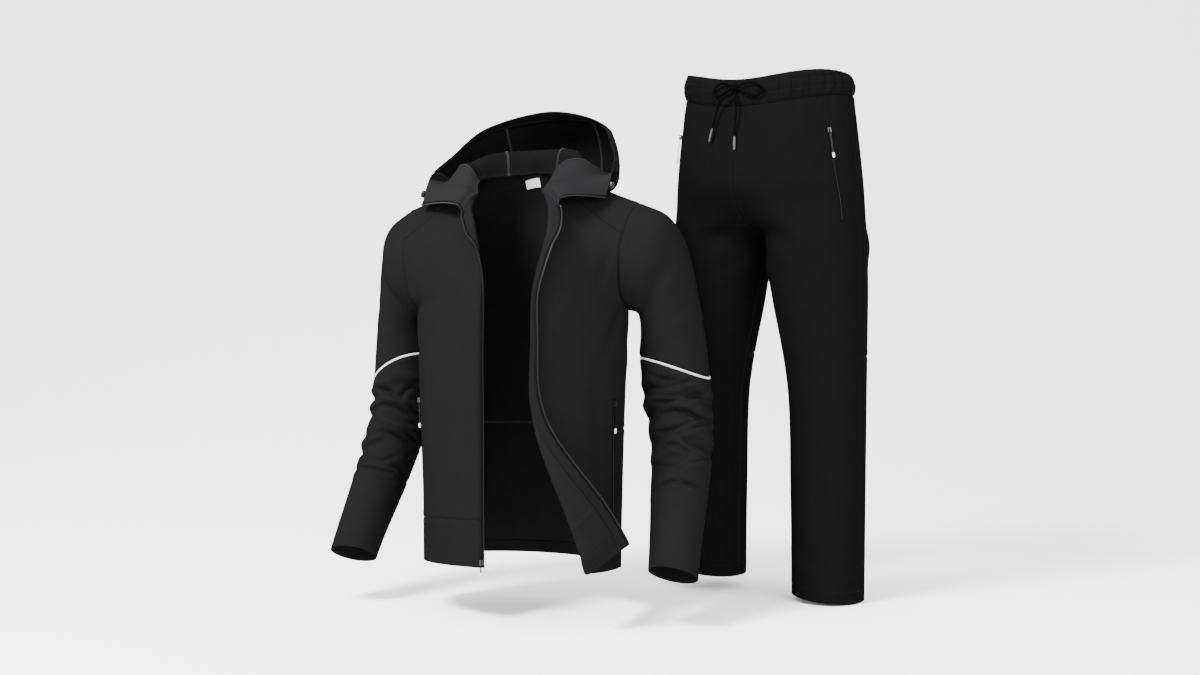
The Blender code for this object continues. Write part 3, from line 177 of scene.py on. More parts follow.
# depth of the curve at the side, inner point, direction there
legFront = [
    (0, -0.190, 0.000, -0.120, 0.142, -0.27, 0.00, 0.00), (1, -0.210, 0.000, -0.130, 0.070, -0.29, 0.00, 0.00),
    (2, -0.222, 0.000, -0.135, -0.005, -0.30, 0.00, 0.00), (3, -0.240, 0.000, -0.112, -0.052, -0.27, 0.06, -0.02),
    (4, -0.310, 0.000, -0.070, -0.086, -0.20, 0.20, -0.03), (5, -0.370, 0.000, 0.000, -0.108, -0.12, 0.44, -0.02),
    (6, -0.370, 0.012, 0.000, -0.165, -0.05, 0.430, 0.00), (7, -0.370, 0.027, 0.000, -0.230, -0.02, 0.395, 0.00),
    (8, -0.310, 0.058, 0.000, -0.400, 0.00, 0.30, 0.00), (9, -0.295, 0.064, 0.000, -0.600, 0.00, 0.29, 0.00),
    (10, -0.288, 0.066, 0.000, -0.787, 0.00, 0.285, 0.00),
]
legBack = [
    (0, 0.190, 0.000, 0.115, 0.195, -0.27, 0.00, 0.00), (1, 0.215, 0.000, 0.132, 0.095, -0.29, 0.00, 0.00),
    (2, 0.238, 0.000, 0.148, 0.005, -0.30, 0.00, 0.00), (3, 0.255, 0.000, 0.140, -0.055, -0.28, -0.06, -0.02),
    (4, 0.330, 0.000, 0.090, -0.096, -0.18, -0.19, -0.03), (5, 0.460, 0.000, 0.000, -0.108, -0.14, -0.38, -0.03),
    (6, 0.420, 0.012, 0.000, -0.165, -0.04, -0.405, 0.00), (7, 0.405, 0.027, 0.000, -0.230, 0.00, -0.39, 0.00),
    (8, 0.330, 0.058, 0.000, -0.400, 0.00, -0.32, 0.00), (9, 0.310, 0.064, 0.000, -0.600, 0.00, -0.305, 0.00),
    (10, 0.296, 0.066, 0.000, -0.787, 0.00, -0.292, 0.00),
]


# A cubic from a to b that leaves in the direction ta and arrives in the direction tb.
def bend(a, ta, b, tb, t):
    return (
        (2 * t**3 - 3 * t**2 + 1) * a + (t**3 - 2 * t**2 + t) * ta
        + (3 * t**2 - 2 * t**3) * b + (t**3 - t**2) * tb
    )


# A smooth curve through a table's rows, whose first column is the place.
def smooth(rows, at):
    rows = np.asarray(rows, float)
    at = np.asarray(at, float)
    x, y = rows[:, 0], rows[:, 1:]
    slope = np.gradient(y, x, axis=0)
    i = np.clip(np.searchsorted(x, at, side="right") - 1, 0, len(x) - 2)
    span = (x[i + 1] - x[i])[..., None]
    t = np.clip((at[..., None] - x[i][..., None]) / span, 0, 1)
    return bend(y[i], span * slope[i], y[i + 1], span * slope[i + 1], t)


# A section from a to b, leaving and arriving in the directions ta and tb.
def across(a, ta, b, tb, u):
    return bend(a, ta, b, tb, u[..., None])


def unit(v):
    return v / np.maximum(np.linalg.norm(v, axis=-1, keepdims=True), 1e-12)


def runLength(p):  # the distance run down the first axis: sum of the steps so far
    return np.concatenate([0 * p[:1, ..., 0], np.cumsum(np.linalg.norm(np.diff(p, axis=0), axis=-1), axis=0)])


def readAt(at, s, p):  # points read from a line at distances along it
    return np.stack([np.interp(at, s, p[:, k]) for k in range(3)], axis=-1)


def placed(name, data):
    piece = bpy.data.objects.new(name, data)
    bpy.context.scene.collection.objects.link(piece)
    return piece


# the jacket's body
rightRows = np.array(frontRows + backRows)
leftRows = rightRows.copy()
leftRows[: len(frontRows), 4:] = smooth(swungRows, rightRows[: len(frontRows), 0])
sideSeam = np.array(frontRows)[:5, :4]
sides = {"left": (1, leftRows, turnLeft), "right": (-1, rightRows, turnRight)}


# Sections from the side seam or armhole (u 0) to the zip, neck or back centre (u 1).
def torso(side, u, l):
    sign, rows, _ = sides[side]
    u, l = np.broadcast_arrays(np.asarray(u, float), np.asarray(l, float))
    row = smooth(rows, l)
    low = np.minimum(l, 1.6 - l)
    seam = smooth(sideSeam, np.minimum(low, cut["underarm"]))
    a = np.where((low < cut["underarm"])[..., None], seam, row[..., 0:3])
    neck = smooth(rows[: len(frontRows) + 2, [0, 7, 8, 9]], np.minimum(l, cut["backNeck"]))
    spine = smooth(rows[len(frontRows) + 1:, [0, 7, 8, 9]], np.maximum(l, cut["backNeck"]))
    b = np.where((l > cut["backNeck"])[..., None], spine, neck)
    return across(a, row[..., 3:6], b, row[..., 9:12], u) * np.array([sign, 1, 1])


widthAt = np.linspace(0, 1.6, 161)
widths = {s: runLength(torso(s, np.linspace(0, 1, 33)[:, None], widthAt[None, :]))[-1] for s in sides}


def width(side, l):
    return np.interp(l, widthAt, widths[side])


def torsoNormal(side, u, l, e=1e-3):
    du = torso(side, np.minimum(u + e, 1), l) - torso(side, np.maximum(u - e, 0), l)
    dl = torso(side, u, np.minimum(l + e, 1.6)) - torso(side, u, np.maximum(l - e, 0))
    return unit(np.cross(du, dl)) * -sides[side][0]


# The body with its zip edge turned back round a soft roll.
def sheet(side, u, l):
    turn = sides[side][2]
    u, l = np.broadcast_arrays(np.asarray(u, float), np.asarray(l, float))
    plain = torso(side, u, l)
    p = (1 - u) * width(side, l)
    low = np.clip(l, 0, cut["shoulder"])
    d = smooth(turn, low)[..., 0] - p
    slope = (smooth(turn, low + 1e-3)[..., 0] - smooth(turn, low - 1e-3)[..., 0]) / 2e-3
    past = (d > 0) & (l < cut["shoulder"])
    cos = 1 / np.sqrt(1 + slope**2)
    d = d * cos
    footPlace = np.clip(l - d * slope * cos, 0, cut["shoulder"])
    footIn = p + d * cos
    footShare = np.clip(1 - footIn / width(side, footPlace), 0, 1)
    foot = torso(side, footShare, footPlace)
    n = torsoNormal(side, footShare, footPlace)
    e = 1e-3
    ahead = np.clip(1 - smooth(turn, footPlace + e)[..., 0] / width(side, footPlace + e), 0, 1)
    behind = np.clip(1 - smooth(turn, footPlace - e)[..., 0] / width(side, footPlace - e), 0, 1)
    along = unit(torso(side, ahead, footPlace + e) - torso(side, behind, footPlace - e))
    out = unit(np.cross(along, n))
    toward = (torso(side, np.clip(footShare + e, 0, 1), footPlace)
              - torso(side, np.clip(footShare - e, 0, 1), footPlace))
    out = np.where((out * toward).sum(-1, keepdims=True) < 0, -out, out)
    a = np.clip(d / cut["turnRadius"], 0, cut["turnAngle"])[..., None]
    rest = np.maximum(d - cut["turnRadius"] * cut["turnAngle"], 0)[..., None]
    turned = (
        foot + cut["turnRadius"] * np.sin(a) * out + cut["turnRadius"] * (1 - np.cos(a)) * n
        + rest * (np.cos(cut["turnAngle"]) * out + np.sin(cut["turnAngle"]) * n)
    )
    return np.where(past[..., None], turned, plain)


# Where the seam between front and shoulder insert runs.
def insertSeam(u):
    return cut["insertAtArm"] + (cut["insertAtNeck"] - cut["insertAtArm"]) * u


# Rows of the front, gathered under the slanting seam at its top.
def frontPlace(u, v):
    low = 0.551
    return np.where(v > low, low + (insertSeam(u) - low) * (v - low) / (cut["insertAtArm"] - low), v)


def armAngle(l):  # the angle round the arm from the underarm, by the share of its round
    return 2 * np.pi * (l - cut["underarm"]) / cut["armRound"]


# Rings from the armhole to the cuff, swept along the arm.
def sleeve(side, l, s):
    sign = sides[side][0]
    l, s = np.broadcast_arrays(np.asarray(l, float), np.asarray(s, float))
    angle = armAngle(l)
    rows = np.array(sleeveRows)
    keys = []
    arm = torso("left", 0.0, l[0])
    ringAngle = angle[0]
    centres = (rows[:, 1:4] + rows[:, 4:7]) / 2
    heading = np.gradient(centres, axis=0) * np.array([1, 0, 1])
    heading[4:, 1] = np.gradient(centres, axis=0)[4:, 1]
    heading = unit(heading)
    for k, row in enumerate(rows):
        half = (row[1:4] - row[4:7]) / 2
        deep = unit(np.cross(heading[k], half)) * row[7]
        if deep[1] < 0:
            deep = -deep
        keys.append(centres[k] - np.cos(ringAngle)[:, None] * half - np.sin(ringAngle)[:, None] * deep)
    keys = np.array([arm] + keys)
    place = np.concatenate([[0.0], rows[:, 0]])
    table = np.concatenate([place[:, None], keys.reshape(len(place), -1)], axis=1)
    column = np.arange(s.shape[1])
    points = smooth(table, s).reshape(*s.shape, len(ringAngle), 3)[:, column, column]
    centre = smooth(np.concatenate([rows[:, :1], centres], axis=1), s)
    degrees = np.degrees(angle)
    fold = np.zeros(s.shape)
    for z, mid, reach, slope, depth, wide in (foldsLeft if side == "left" else foldsRight):
        off = (degrees - mid + 180) % 360 - 180
        near = np.where(np.abs(off) < reach, np.cos(np.radians(90 * off / reach)) ** 2, 0)
        line = z + slope * off / 90
        gap = (points[..., 2] - line) / wide
        fold += depth * near * (np.exp(-gap**2) - 0.8 * np.exp(-(gap - 1.5) ** 2))
    away = unit((points - centre) * np.array([1, 1, 0.3]))
    points = points - away * fold[..., None]
    return points * np.array([sign, 1, 1])


def pipingPlace(l):
    return cut["pipingAt"][0] + cut["pipingAt"][1] * (1 - np.cos(armAngle(l))) / 2


# The hood from the neck seam (v 0) over its rolled rim and round its bag to the edge (v 9).
def hood(side, l, v):
    sign = sides[side][0]
    l, v = np.broadcast_arrays(np.asarray(l, float), np.asarray(v, float))
    keys = np.array(hoodRows)
    keys = np.concatenate([keys, keys[-2:-1] * np.array([-1, 1, 1])])
    at = np.array(hoodAt + (0.95,))
    table = np.concatenate([at[:, None], keys.reshape(len(at), -1)], axis=1)
    points = smooth(table, l).reshape(*l.shape, 9, 3)
    neck = sheet(side, 1.0, l) * np.array([sign, 1, 1])
    # the front of the collar lies turned out: it runs straight from neck to edge, a little arched
    k = np.arange(1, 10)[:, None] / 9
    arch = np.sin(np.pi * k**0.5) * np.array([-0.004, -0.011, 0.014])
    flat = neck[..., None, :] * (1 - k) + points[..., 8:9, :] * k + arch
    out = np.clip((0.715 - l) / 0.055, 0, 1)[..., None, None]
    points = points * (1 - out) + flat * out
    points = np.concatenate([neck[..., None, :], points], axis=-2)
    slope = np.gradient(points, axis=-2)
    i = np.clip(v.astype(int), 0, 8)
    t = (v - i)[..., None]

    def pick(a, k):
        return np.take_along_axis(a, k[..., None, None], axis=-2)[..., 0, :]

    return bend(pick(points, i), pick(slope, i), pick(points, i + 1), pick(slope, i + 1), t) * np.array([sign, 1, 1])


# From the trousers' own frame to where they stand.
def turned(p):
    c, s = np.cos(trousers["turn"]), np.sin(trousers["turn"])
    x, y, z = p[..., 0], p[..., 1], p[..., 2]
    drop = np.clip((-0.2 - z) / 0.6, 0, 1) * 0.10 * x + np.clip((z + 0.1) / 0.3, 0, 1) * 0.07 * x
    return np.stack([trousers["at"][0] + c * x - s * y, trousers["at"][1] + s * x + c * y, z - drop], axis=-1)


# One side's front or back, where it stands.
def leg(side, part, u, t):
    return turned(ownLeg(side, part, u, t))


# Sections from the outer seam (u 0) to the centre seam or inseam (u 1), in the trousers' frame.
def ownLeg(side, part, u, t):
    sign = sides[side][0]
    u, t = np.broadcast_arrays(np.asarray(u, float), np.asarray(t, float))
    a = smooth(legRows, t)
    row = smooth(legFront if part == "front" else legBack, t)
    ta = np.stack([0 * u, row[..., 0], 0 * u], axis=-1)
    inner = row[..., 1:4]
    low = smooth(legFront, np.maximum(t, 5))[..., 1:4]
    inner = np.where((t >= 5)[..., None], low, inner * np.array([0, 1, 1]))
    return across(a, ta, inner, row[..., 4:7], u) * np.array([sign, 1, 1])


# The waistband, gathered by its elastic: turn runs from the front centre to the left.
def band(turn, v):
    turn, v = np.broadcast_arrays(np.asarray(turn, float), np.asarray(v, float))
    quarter = np.abs(turn) / (np.pi / 2)
    u = np.where(quarter < 1, 1 - quarter, quarter - 1)
    cell = np.clip(np.floor(u * trousers["columns"]), 0, trousers["columns"] - 1)
    ends = []
    for k in (0, 1):
        at = (cell + k) / trousers["columns"]
        ahead, behindIt = [ownLeg("left", half, at, 0.0) for half in ("front", "back")]
        ends.append(np.where((quarter < 1)[..., None], ahead, behindIt))
    part = (u * trousers["columns"] - cell)[..., None]
    low = (ends[0] * (1 - part) + ends[1] * part) * np.stack(
        [np.sign(turn) + (turn == 0), 1 + 0 * turn, 1 + 0 * turn], axis=-1)
    wide, frontDeep, backDeep, frontHigh, sideHigh, backHigh = trousers["bandTop"]
    c, s = np.cos(turn), np.sin(turn)
    bow = 1 + 0.055 * np.sin(2 * turn) ** 2
    top = np.stack([
        wide * s * bow, -np.where(c > 0, frontDeep, backDeep) * c * bow,
        sideHigh + np.where(c > 0, frontHigh - sideHigh, backHigh - sideHigh) * c**4,
    ], axis=-1)
    puff = 0.005 * np.sin(np.pi * v) + 0.0016 * np.sin(trousers["gathers"] * turn) * np.sin(np.pi * v)
    p = low + (top - low) * v[..., None]
    p = p + puff[..., None] * unit(p * np.array([1, 1, 0]) + 1e-9)
    return turned(p)


def gridNormals(g, wrap, flip):  # cross product of the grid's own two directions
    du = np.roll(g, -1, axis=1) - np.roll(g, 1, axis=1) if wrap else np.gradient(g, axis=1)
    return unit(np.cross(du, np.gradient(g, axis=0))) * flip


def evenPlaces(path, gap, tight, wrap=False):  # equal steps along a path, closer together at both ends
    t = np.linspace(0, 1, 700)
    p = path(t)
    s = runLength(p)
    even = np.linspace(0, s[-1], max(int(s[-1] / gap), 4) + 1)
    if wrap:
        return np.interp(even[:-1], s, t)
    near = np.array(tight)
    keep = (even > near[-1] + gap * 0.5) & (even < s[-1] - near[-1] - gap * 0.5)
    return np.interp(np.concatenate([near, even[keep], (s[-1] - near)[::-1]]), s, t)


def crease(a, b, wide, deep):
    return np.array(a), np.array(b), wide, deep


# Soft troughs with a low ridge on either side: depth falls off with distance from a line from a to b
# and to nothing at the line's ends.
def relief(p, creases):
    lift = np.zeros(p.shape[:-1])
    for a, b, wide, deep in creases:
        run = b - a
        t = np.clip(((p - a) @ run) / (run @ run), 0, 1)
        away = np.linalg.norm(p - a - t[..., None] * run, axis=-1) / wide
        lift -= deep * np.sin(np.pi * t) ** 0.8 * (np.exp(-away**2) - 0.45 * np.exp(-(away - 1.7) ** 2))
    return lift


# the floor's height, and the camera: its turn with cosine and sine, distance, place and lens; the picture
# is 1200 pixels wide
studio = {
    "floorAt": -0.808, "turn": np.radians(22), "cos": 0.9272, "sin": 0.3746, "away": 2.6, "aside": 0.15,
    "height": -0.302, "lens": 41.7, "pixels": 1390, "middle": (600, 337.5), "usualScale": 2.5,
}


# A point's place across and down the picture: pixels times offset over distance.
def seen(p):
    far = studio["away"] - studio["sin"] * p[..., 0] + studio["cos"] * p[..., 1]
    across = studio["cos"] * p[..., 0] + studio["sin"] * p[..., 1] - studio["aside"]
    up = p[..., 2] - studio["height"]
    return studio["middle"][0] + studio["pixels"] * across / far, studio["middle"][1] - studio["pixels"] * up / far


# Creases drawn as they are seen: a narrow trough along each line with a soft ridge below it, fading
# at the line's ends. The side turned away carries the same lines a little lower.
def drawn(p, n, lines):
    x, y = seen(p)
    lift = np.zeros(p.shape[:-1])
    facing = n[..., 1] * studio["cos"] - n[..., 0] * studio["sin"]
    for front in (True, False):
        mask = np.clip(0.35 + (-facing if front else facing) * 1.6, 0, 1)
        for wide, deep, places in lines:
            q = np.array(places, float) + (0 if front else np.array([4.0, 9.0]))
            near, upper, along = np.full(p.shape[:-1], 1e3), 0 * x, 0 * x
            for k in range(len(q) - 1):
                run = q[k + 1] - q[k]
                t = np.clip(((x - q[k, 0]) * run[0] + (y - q[k, 1]) * run[1]) / (run @ run), 0, 1)
                dx, dy = x - q[k, 0] - t * run[0], y - q[k, 1] - t * run[1]
                d = np.hypot(dx, dy)
                closer = d < near
                above = (dx * run[1] - dy * run[0]) / np.hypot(*run) * np.sign(run[0] + 1e-6)
                upper = np.where(closer, above, upper)
                along = np.where(closer, (k + t) / (len(q) - 1), along)
                near = np.minimum(near, d)
            w = wide * studio["pixels"] / studio["usualScale"]
            fade = np.clip(1.15 * np.sin(np.pi * np.clip(along, 0.04, 0.96)) ** 0.55, 0, 1)
            shape = -np.exp(-(near / w) ** 2)
            for share, off, spread in ((0.55, 2.1, 1.5), (0.25, -2.0, 1.4)):
                shape = shape + share * np.exp(-((upper + off * w) / (spread * w)) ** 2) * (near < 5 * w)
            lift += mask * fade * 1.5 * deep * shape
    return lift


def edgeDistances(g):  # arc length from each of a grid's four edges
    down, right = runLength(g), runLength(g.swapaxes(0, 1)).T
    return {"top": down, "bottom": down[-1:] - down, "left": right, "right": right[:, -1:] - right}


def newMesh(name, verts, quads, looks, inside=None, smoothFaces=True):
    mesh = bpy.data.meshes.new(name)
    quads = np.ascontiguousarray(quads, dtype=np.int32)
    mesh.vertices.add(len(verts))
    mesh.vertices.foreach_set("co", np.ascontiguousarray(verts, dtype=np.float32).ravel())
    mesh.loops.add(quads.size)
    mesh.loops.foreach_set("vertex_index", quads.ravel())
    mesh.polygons.add(len(quads))
    mesh.polygons.foreach_set("loop_start", np.arange(0, quads.size, 4, dtype=np.int32))
    for look in looks:
        mesh.materials.append(look)
    if inside is not None:
        mesh.polygons.foreach_set("material_index", inside.astype(np.int32))
    mesh.polygons.foreach_set("use_smooth", np.full(len(quads), smoothFaces))
    mesh.update(calc_edges=True)
    mesh.validate()
    return placed(name, mesh)


# A wall between an outer and an inner grid, closed round its rim.
def wallMesh(name, outer, inner, wrap, flip, looks):
    rows, cols = outer.shape[:2]
    index = np.arange(rows * cols).reshape(rows, cols)
    nxt = np.roll(index, -1, axis=1)
    last = cols if wrap else cols - 1
    a, b, c, d = index[:-1, :last], nxt[:-1, :last], nxt[1:, :last], index[1:, :last]
    half = rows * cols

    def pack(*corners):
        return np.stack([x.ravel() for x in corners], axis=1)

    sets = [pack(a, b, c, d), pack(a, d, c, b) + half]
    a0, b0, a1, b1 = index[0, :last], nxt[0, :last], index[-1, :last], nxt[-1, :last]
    sets += [pack(b0, a0, a0 + half, b0 + half), pack(a1, b1, b1 + half, a1 + half)]
    if not wrap:
        a0, d0, b1, c1 = index[:-1, 0], index[1:, 0], index[:-1, -1], index[1:, -1]
        sets += [pack(a0, d0, d0 + half, a0 + half), pack(c1, b1, b1 + half, c1 + half)]
    inside = np.concatenate([np.full(len(s), k == 1) for k, s in enumerate(sets)])
    quads = np.concatenate(sets)
    if flip < 0:
        quads = quads[:, ::-1]
    return newMesh(name, np.concatenate([outer.reshape(-1, 3), inner.reshape(-1, 3)]), quads, looks, inside)


cloths = {}


# A cloth piece: its middle surface is f(column, row) with both from 0 to 1; the wall lies half on each
# side, and is pressed thinner along the edges that are sewn.
def clothPiece(node, f, flip, looks, gap=(0.004, 0.004), wrap=False,
               pressed=("top", "bottom", "left", "right"), creases=(), extra=None, wall=cut["wall"],
               tight=(0.0, 0.0007, 0.0015, 0.0026, 0.0042, 0.0062), lines=()):
    pressed = [edge for edge in pressed if not (wrap and edge in ("left", "right"))]
    cols = evenPlaces(lambda t: f(t[None, :], np.array([[0.5]]))[0], gap[0], tight, wrap)
    rows = evenPlaces(lambda t: f(np.array([[0.4]]), t[:, None])[:, 0], gap[1], tight)
    mid = f(cols[None, :], rows[:, None])
    n = gridNormals(mid, wrap, flip)
    lift = relief(mid, creases)
    if extra:
        lift = lift + extra(mid)
    if lines:
        lift = lift + drawn(mid, n, lines)
    away = edgeDistances(mid)
    for edge in pressed:  # the cloth sinks into each seam and swells a little beside it
        lift = lift - 0.0011 * np.exp(-(away[edge] / 0.0030) ** 2)
        lift = lift + 0.0005 * np.exp(-((away[edge] - 0.0068) / 0.003) ** 2)
    mid = mid + n * lift[..., None]
    for edge in pressed:  # each sewn edge reaches a little into its neighbour, so that no light shows between
        g = mid.swapaxes(0, 1) if edge in ("left", "right") else mid
        last, before = (0, 1) if edge in ("top", "left") else (-1, -2)
        g[last] += unit(g[last] - g[before]) * cut["tuckIn"]
    n = gridNormals(mid, wrap, flip)
    away = edgeDistances(mid)
    dent = np.zeros(mid.shape[:2])
    for edge in pressed:
        dent = np.maximum(dent, 0.00075 * np.exp(-(away[edge] / 0.0016) ** 2))
    outer = mid + n * (wall / 2 - dent)[..., None]
    inner = mid - n * (wall / 2 - 0.6 * dent)[..., None]
    piece = wallMesh(f"{node}_cloth", outer, inner, wrap, flip, looks)
    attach(piece, "garment")
    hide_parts(node)
    cloths[node] = {"mid": mid, "n": n, "cols": cols, "rows": rows, "wall": wall, "wrap": wrap}
    wide = runLength(mid.swapaxes(0, 1))[-1]
    if wrap:
        wide = wide + np.linalg.norm(mid[:, 0] - mid[:, -1], axis=-1)
    tall = runLength(mid)[-1]
    area = float(wide.mean() * tall.mean())
    flat = (round(float(wide.max()), 3), round(float(tall.max()), 3))
    area = min(max(area, 0.31 * flat[0] * flat[1]), flat[0] * flat[1])
    return piece


def onCloth(node, u, l):  # points and normals of a cloth piece's middle at column and row places
    c = cloths[node]
    j = np.clip(np.searchsorted(c["cols"], u, side="right") - 1, 0, len(c["cols"]) - 2)
    i = np.clip(np.searchsorted(c["rows"], l, side="right") - 1, 0, len(c["rows"]) - 2)
    a = ((u - c["cols"][j]) / (c["cols"][j + 1] - c["cols"][j]))[..., None]
    b = ((l - c["rows"][i]) / (c["rows"][i + 1] - c["rows"][i]))[..., None]
    p, n = [
        g[i, j] * (1 - a) * (1 - b) + g[i, j + 1] * a * (1 - b) + g[i + 1, j] * (1 - a) * b + g[i + 1, j + 1] * a * b
        for g in (c["mid"], c["n"])
    ]
    return p, unit(n)


def edgeRun(node, edge, inset, face=1):  # a line on a cloth's outer or inner face, a set distance in from an edge
    c = cloths[node]
    g, n = c["mid"], c["n"]
    if edge in ("left", "right"):
        g, n = g.swapaxes(0, 1), n.swapaxes(0, 1)
    if edge in ("bottom", "right"):
        g, n = g[::-1], n[::-1]
    s = runLength(g)
    k = np.clip((s < inset).sum(axis=0) - 1, 0, len(s) - 2)
    j = np.arange(g.shape[1])
    part = np.clip((inset - s[k, j]) / np.maximum(s[k + 1, j] - s[k, j], 1e-9), 0, 1)[:, None]
    p = g[k, j] * (1 - part) + g[k + 1, j] * part
    m = unit(n[k, j] * (1 - part) + n[k + 1, j] * part) * face
    if c["wrap"]:
        p, m = np.concatenate([p, p[:1]]), np.concatenate([m, m[:1]])
    return p + m * (c["wall"] / 2), m


# Small bars set along a line at an even pitch; size is long, wide, high.
def barsAlong(p, n, pitch, size, lift=0.0):
    s = runLength(p)
    at = np.arange(pitch / 2, s[-1] - pitch / 3, pitch)
    e = 0.0004
    x = unit(readAt(at + e, s, p) - readAt(at - e, s, p))
    y = unit(np.cross(unit(readAt(at, s, n)), x))
    z = np.cross(x, y)
    centre = readAt(at, s, p) + z * lift
    long, wide, high = np.array(size) / 2
    corner = np.array([(-1, -1, -1), (1, -1, -1), (1, 1, -1), (-1, 1, -1),
                       (-0.8, -0.6, 1), (0.8, -0.6, 1), (0.8, 0.6, 1), (-0.8, 0.6, 1)])
    verts = (centre[:, None] + corner[None, :, :1] * x[:, None] * long + corner[None, :, 1:2] * y[:, None] * wide
             + corner[None, :, 2:] * z[:, None] * high)
    quad = np.array([(0, 3, 2, 1), (4, 5, 6, 7), (0, 1, 5, 4), (1, 2, 6, 5), (2, 3, 7, 6), (3, 0, 4, 7)])
    quads = (quad[None] + 8 * np.arange(len(at))[:, None, None]).reshape(-1, 4)
    return verts.reshape(-1, 3), quads


def barPiece(name, runs, look, smoothFaces=False):  # many bars as one piece
    verts, quads, count = [], [], 0
    for v, q in runs:
        verts.append(v)
        quads.append(q + count)
        count += len(v)
    piece = newMesh(name, np.concatenate(verts), np.concatenate(quads), [look], smoothFaces=smoothFaces)
    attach(piece, "garment")
    return piece


# A closed profile (across, out) carried along a line; wrap joins the line's ends.
def carried(name, p, n, profile, look, wrap=False):
    along = np.roll(p, -1, axis=0) - np.roll(p, 1, axis=0) if wrap else np.gradient(p, axis=0)
    x = unit(along)
    y = unit(np.cross(n, x))
    z = np.cross(x, y)
    profile = np.array(profile)
    grid = p[:, None] + y[:, None] * profile[None, :, :1] + z[:, None] * profile[None, :, 1:]
    rows, cols = grid.shape[:2]
    index = np.arange(rows * cols).reshape(rows, cols)
    side = np.roll(index, -1, axis=1)
    ahead = np.roll(index, -1, axis=0)
    aheadSide = np.roll(side, -1, axis=0)
    last = rows if wrap else rows - 1
    quads = np.stack([g[:last].ravel() for g in (index, side, aheadSide, ahead)], axis=1)
    verts = grid.reshape(-1, 3)
    if not wrap:  # each end closes on a middle point
        ends = []
        for row in (index[0][::-1], index[-1]):
            middle = np.full(cols // 2, len(verts))
            verts = np.concatenate([verts, verts[row].mean(axis=0)[None]])
            ends.append(np.stack([middle, row[0::2], row[1::2], np.roll(row, -2)[0::2]], axis=1))
        quads = np.concatenate([quads] + ends)
    c = verts[quads] - verts.mean(axis=0)
    volume = (c[:, 0] * np.cross(c[:, 1], c[:, 2])).sum() + (c[:, 0] * np.cross(c[:, 2], c[:, 3])).sum()
    if volume < 0:
        quads = quads[:, ::-1]
    piece = newMesh(name, verts, quads, [look])
    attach(piece, "garment")
    return piece


def flatProfile(wide, high, lift=0.0):  # a flat strip with eased edges, sixteen points round
    t = np.linspace(0, 2 * np.pi, 16, endpoint=False)
    c, s = np.cos(t), np.sin(t)
    across, up = np.sign(c) * np.abs(c) ** 0.35 * wide / 2, lift + np.sign(s) * np.abs(s) ** 0.5 * high / 2
    return np.stack([across, up], axis=-1)


def grainGroup():  # weave and fine unevenness, from the piece's own coordinates
    group = bpy.data.node_groups.new("clothGrain", "ShaderNodeTree")
    for name, kind, value in (("Colour", "NodeSocketColor", (0.03, 0.03, 0.03, 1)),
                              ("Fineness", "NodeSocketFloat", 1500.0), ("Nap", "NodeSocketFloat", 0.2)):
        socket = group.interface.new_socket(name=name, in_out="INPUT", socket_type=kind)
        socket.default_value = value
    for name, kind in (("Colour", "NodeSocketColor"), ("Height", "NodeSocketFloat"), ("Rough", "NodeSocketFloat")):
        group.interface.new_socket(name=name, in_out="OUTPUT", socket_type=kind)
    add, link = group.nodes.new, group.links.new
    gin, gout, place = add("NodeGroupInput"), add("NodeGroupOutput"), add("ShaderNodeTexCoord")
    fine, broad, mottle = add("ShaderNodeTexNoise"), add("ShaderNodeTexNoise"), add("ShaderNodeMix")
    fine.inputs["Detail"].default_value = 2
    broad.inputs["Scale"].default_value = 26
    broad.inputs["Detail"].default_value = 4
    mottle.data_type = "RGBA"
    mottle.blend_type = "MULTIPLY"
    spread, soft, rough = add("ShaderNodeMapRange"), add("ShaderNodeMath"), add("ShaderNodeMapRange")
    spread.inputs["To Min"].default_value = 0.72
    spread.inputs["To Max"].default_value = 1.28
    rough.inputs["To Min"].default_value = 0.70
    rough.inputs["To Max"].default_value = 0.92
    soft.operation = "MULTIPLY_ADD"
    link(place.outputs["Object"], fine.inputs["Vector"])
    link(place.outputs["Object"], broad.inputs["Vector"])
    link(gin.outputs["Fineness"], fine.inputs["Scale"])
    link(broad.outputs["Fac"], soft.inputs[0])
    link(gin.outputs["Nap"], soft.inputs[1])
    link(fine.outputs["Fac"], soft.inputs[2])
    link(soft.outputs[0], spread.inputs["Value"])
    link(gin.outputs["Colour"], mottle.inputs["A"])
    link(spread.outputs["Result"], mottle.inputs["B"])
    mottle.inputs["Factor"].default_value = 1
    link(broad.outputs["Fac"], rough.inputs["Value"])
    link(mottle.outputs["Result"], gout.inputs["Colour"])
    link(fine.outputs["Fac"], gout.inputs["Height"])
    link(rough.outputs["Result"], gout.inputs["Rough"])
    return group


grain = grainGroup()


def clothLook(name, colour, fineness, nap, bump, sheen=0.0):
    look = bpy.data.materials.new(name)
    look.use_nodes = True
    tree = look.node_tree
    shader = tree.nodes["Principled BSDF"]
    weave, relieve = tree.nodes.new("ShaderNodeGroup"), tree.nodes.new("ShaderNodeBump")
    weave.node_tree = grain
    weave.inputs["Colour"].default_value = (*colour, 1)
    weave.inputs["Fineness"].default_value = fineness
    weave.inputs["Nap"].default_value = nap
    relieve.inputs["Strength"].default_value = bump
    relieve.inputs["Distance"].default_value = 0.0004
    tree.links.new(weave.outputs["Colour"], shader.inputs["Base Color"])
    tree.links.new(weave.outputs["Rough"], shader.inputs["Roughness"])
    tree.links.new(weave.outputs["Height"], relieve.inputs["Height"])
    tree.links.new(relieve.outputs["Normal"], shader.inputs["Normal"])
    shader.inputs["Specular IOR Level"].default_value = 0.0
    shader.inputs["Sheen Weight"].default_value = sheen
    shader.inputs["Sheen Roughness"].default_value = 0.5
    return look


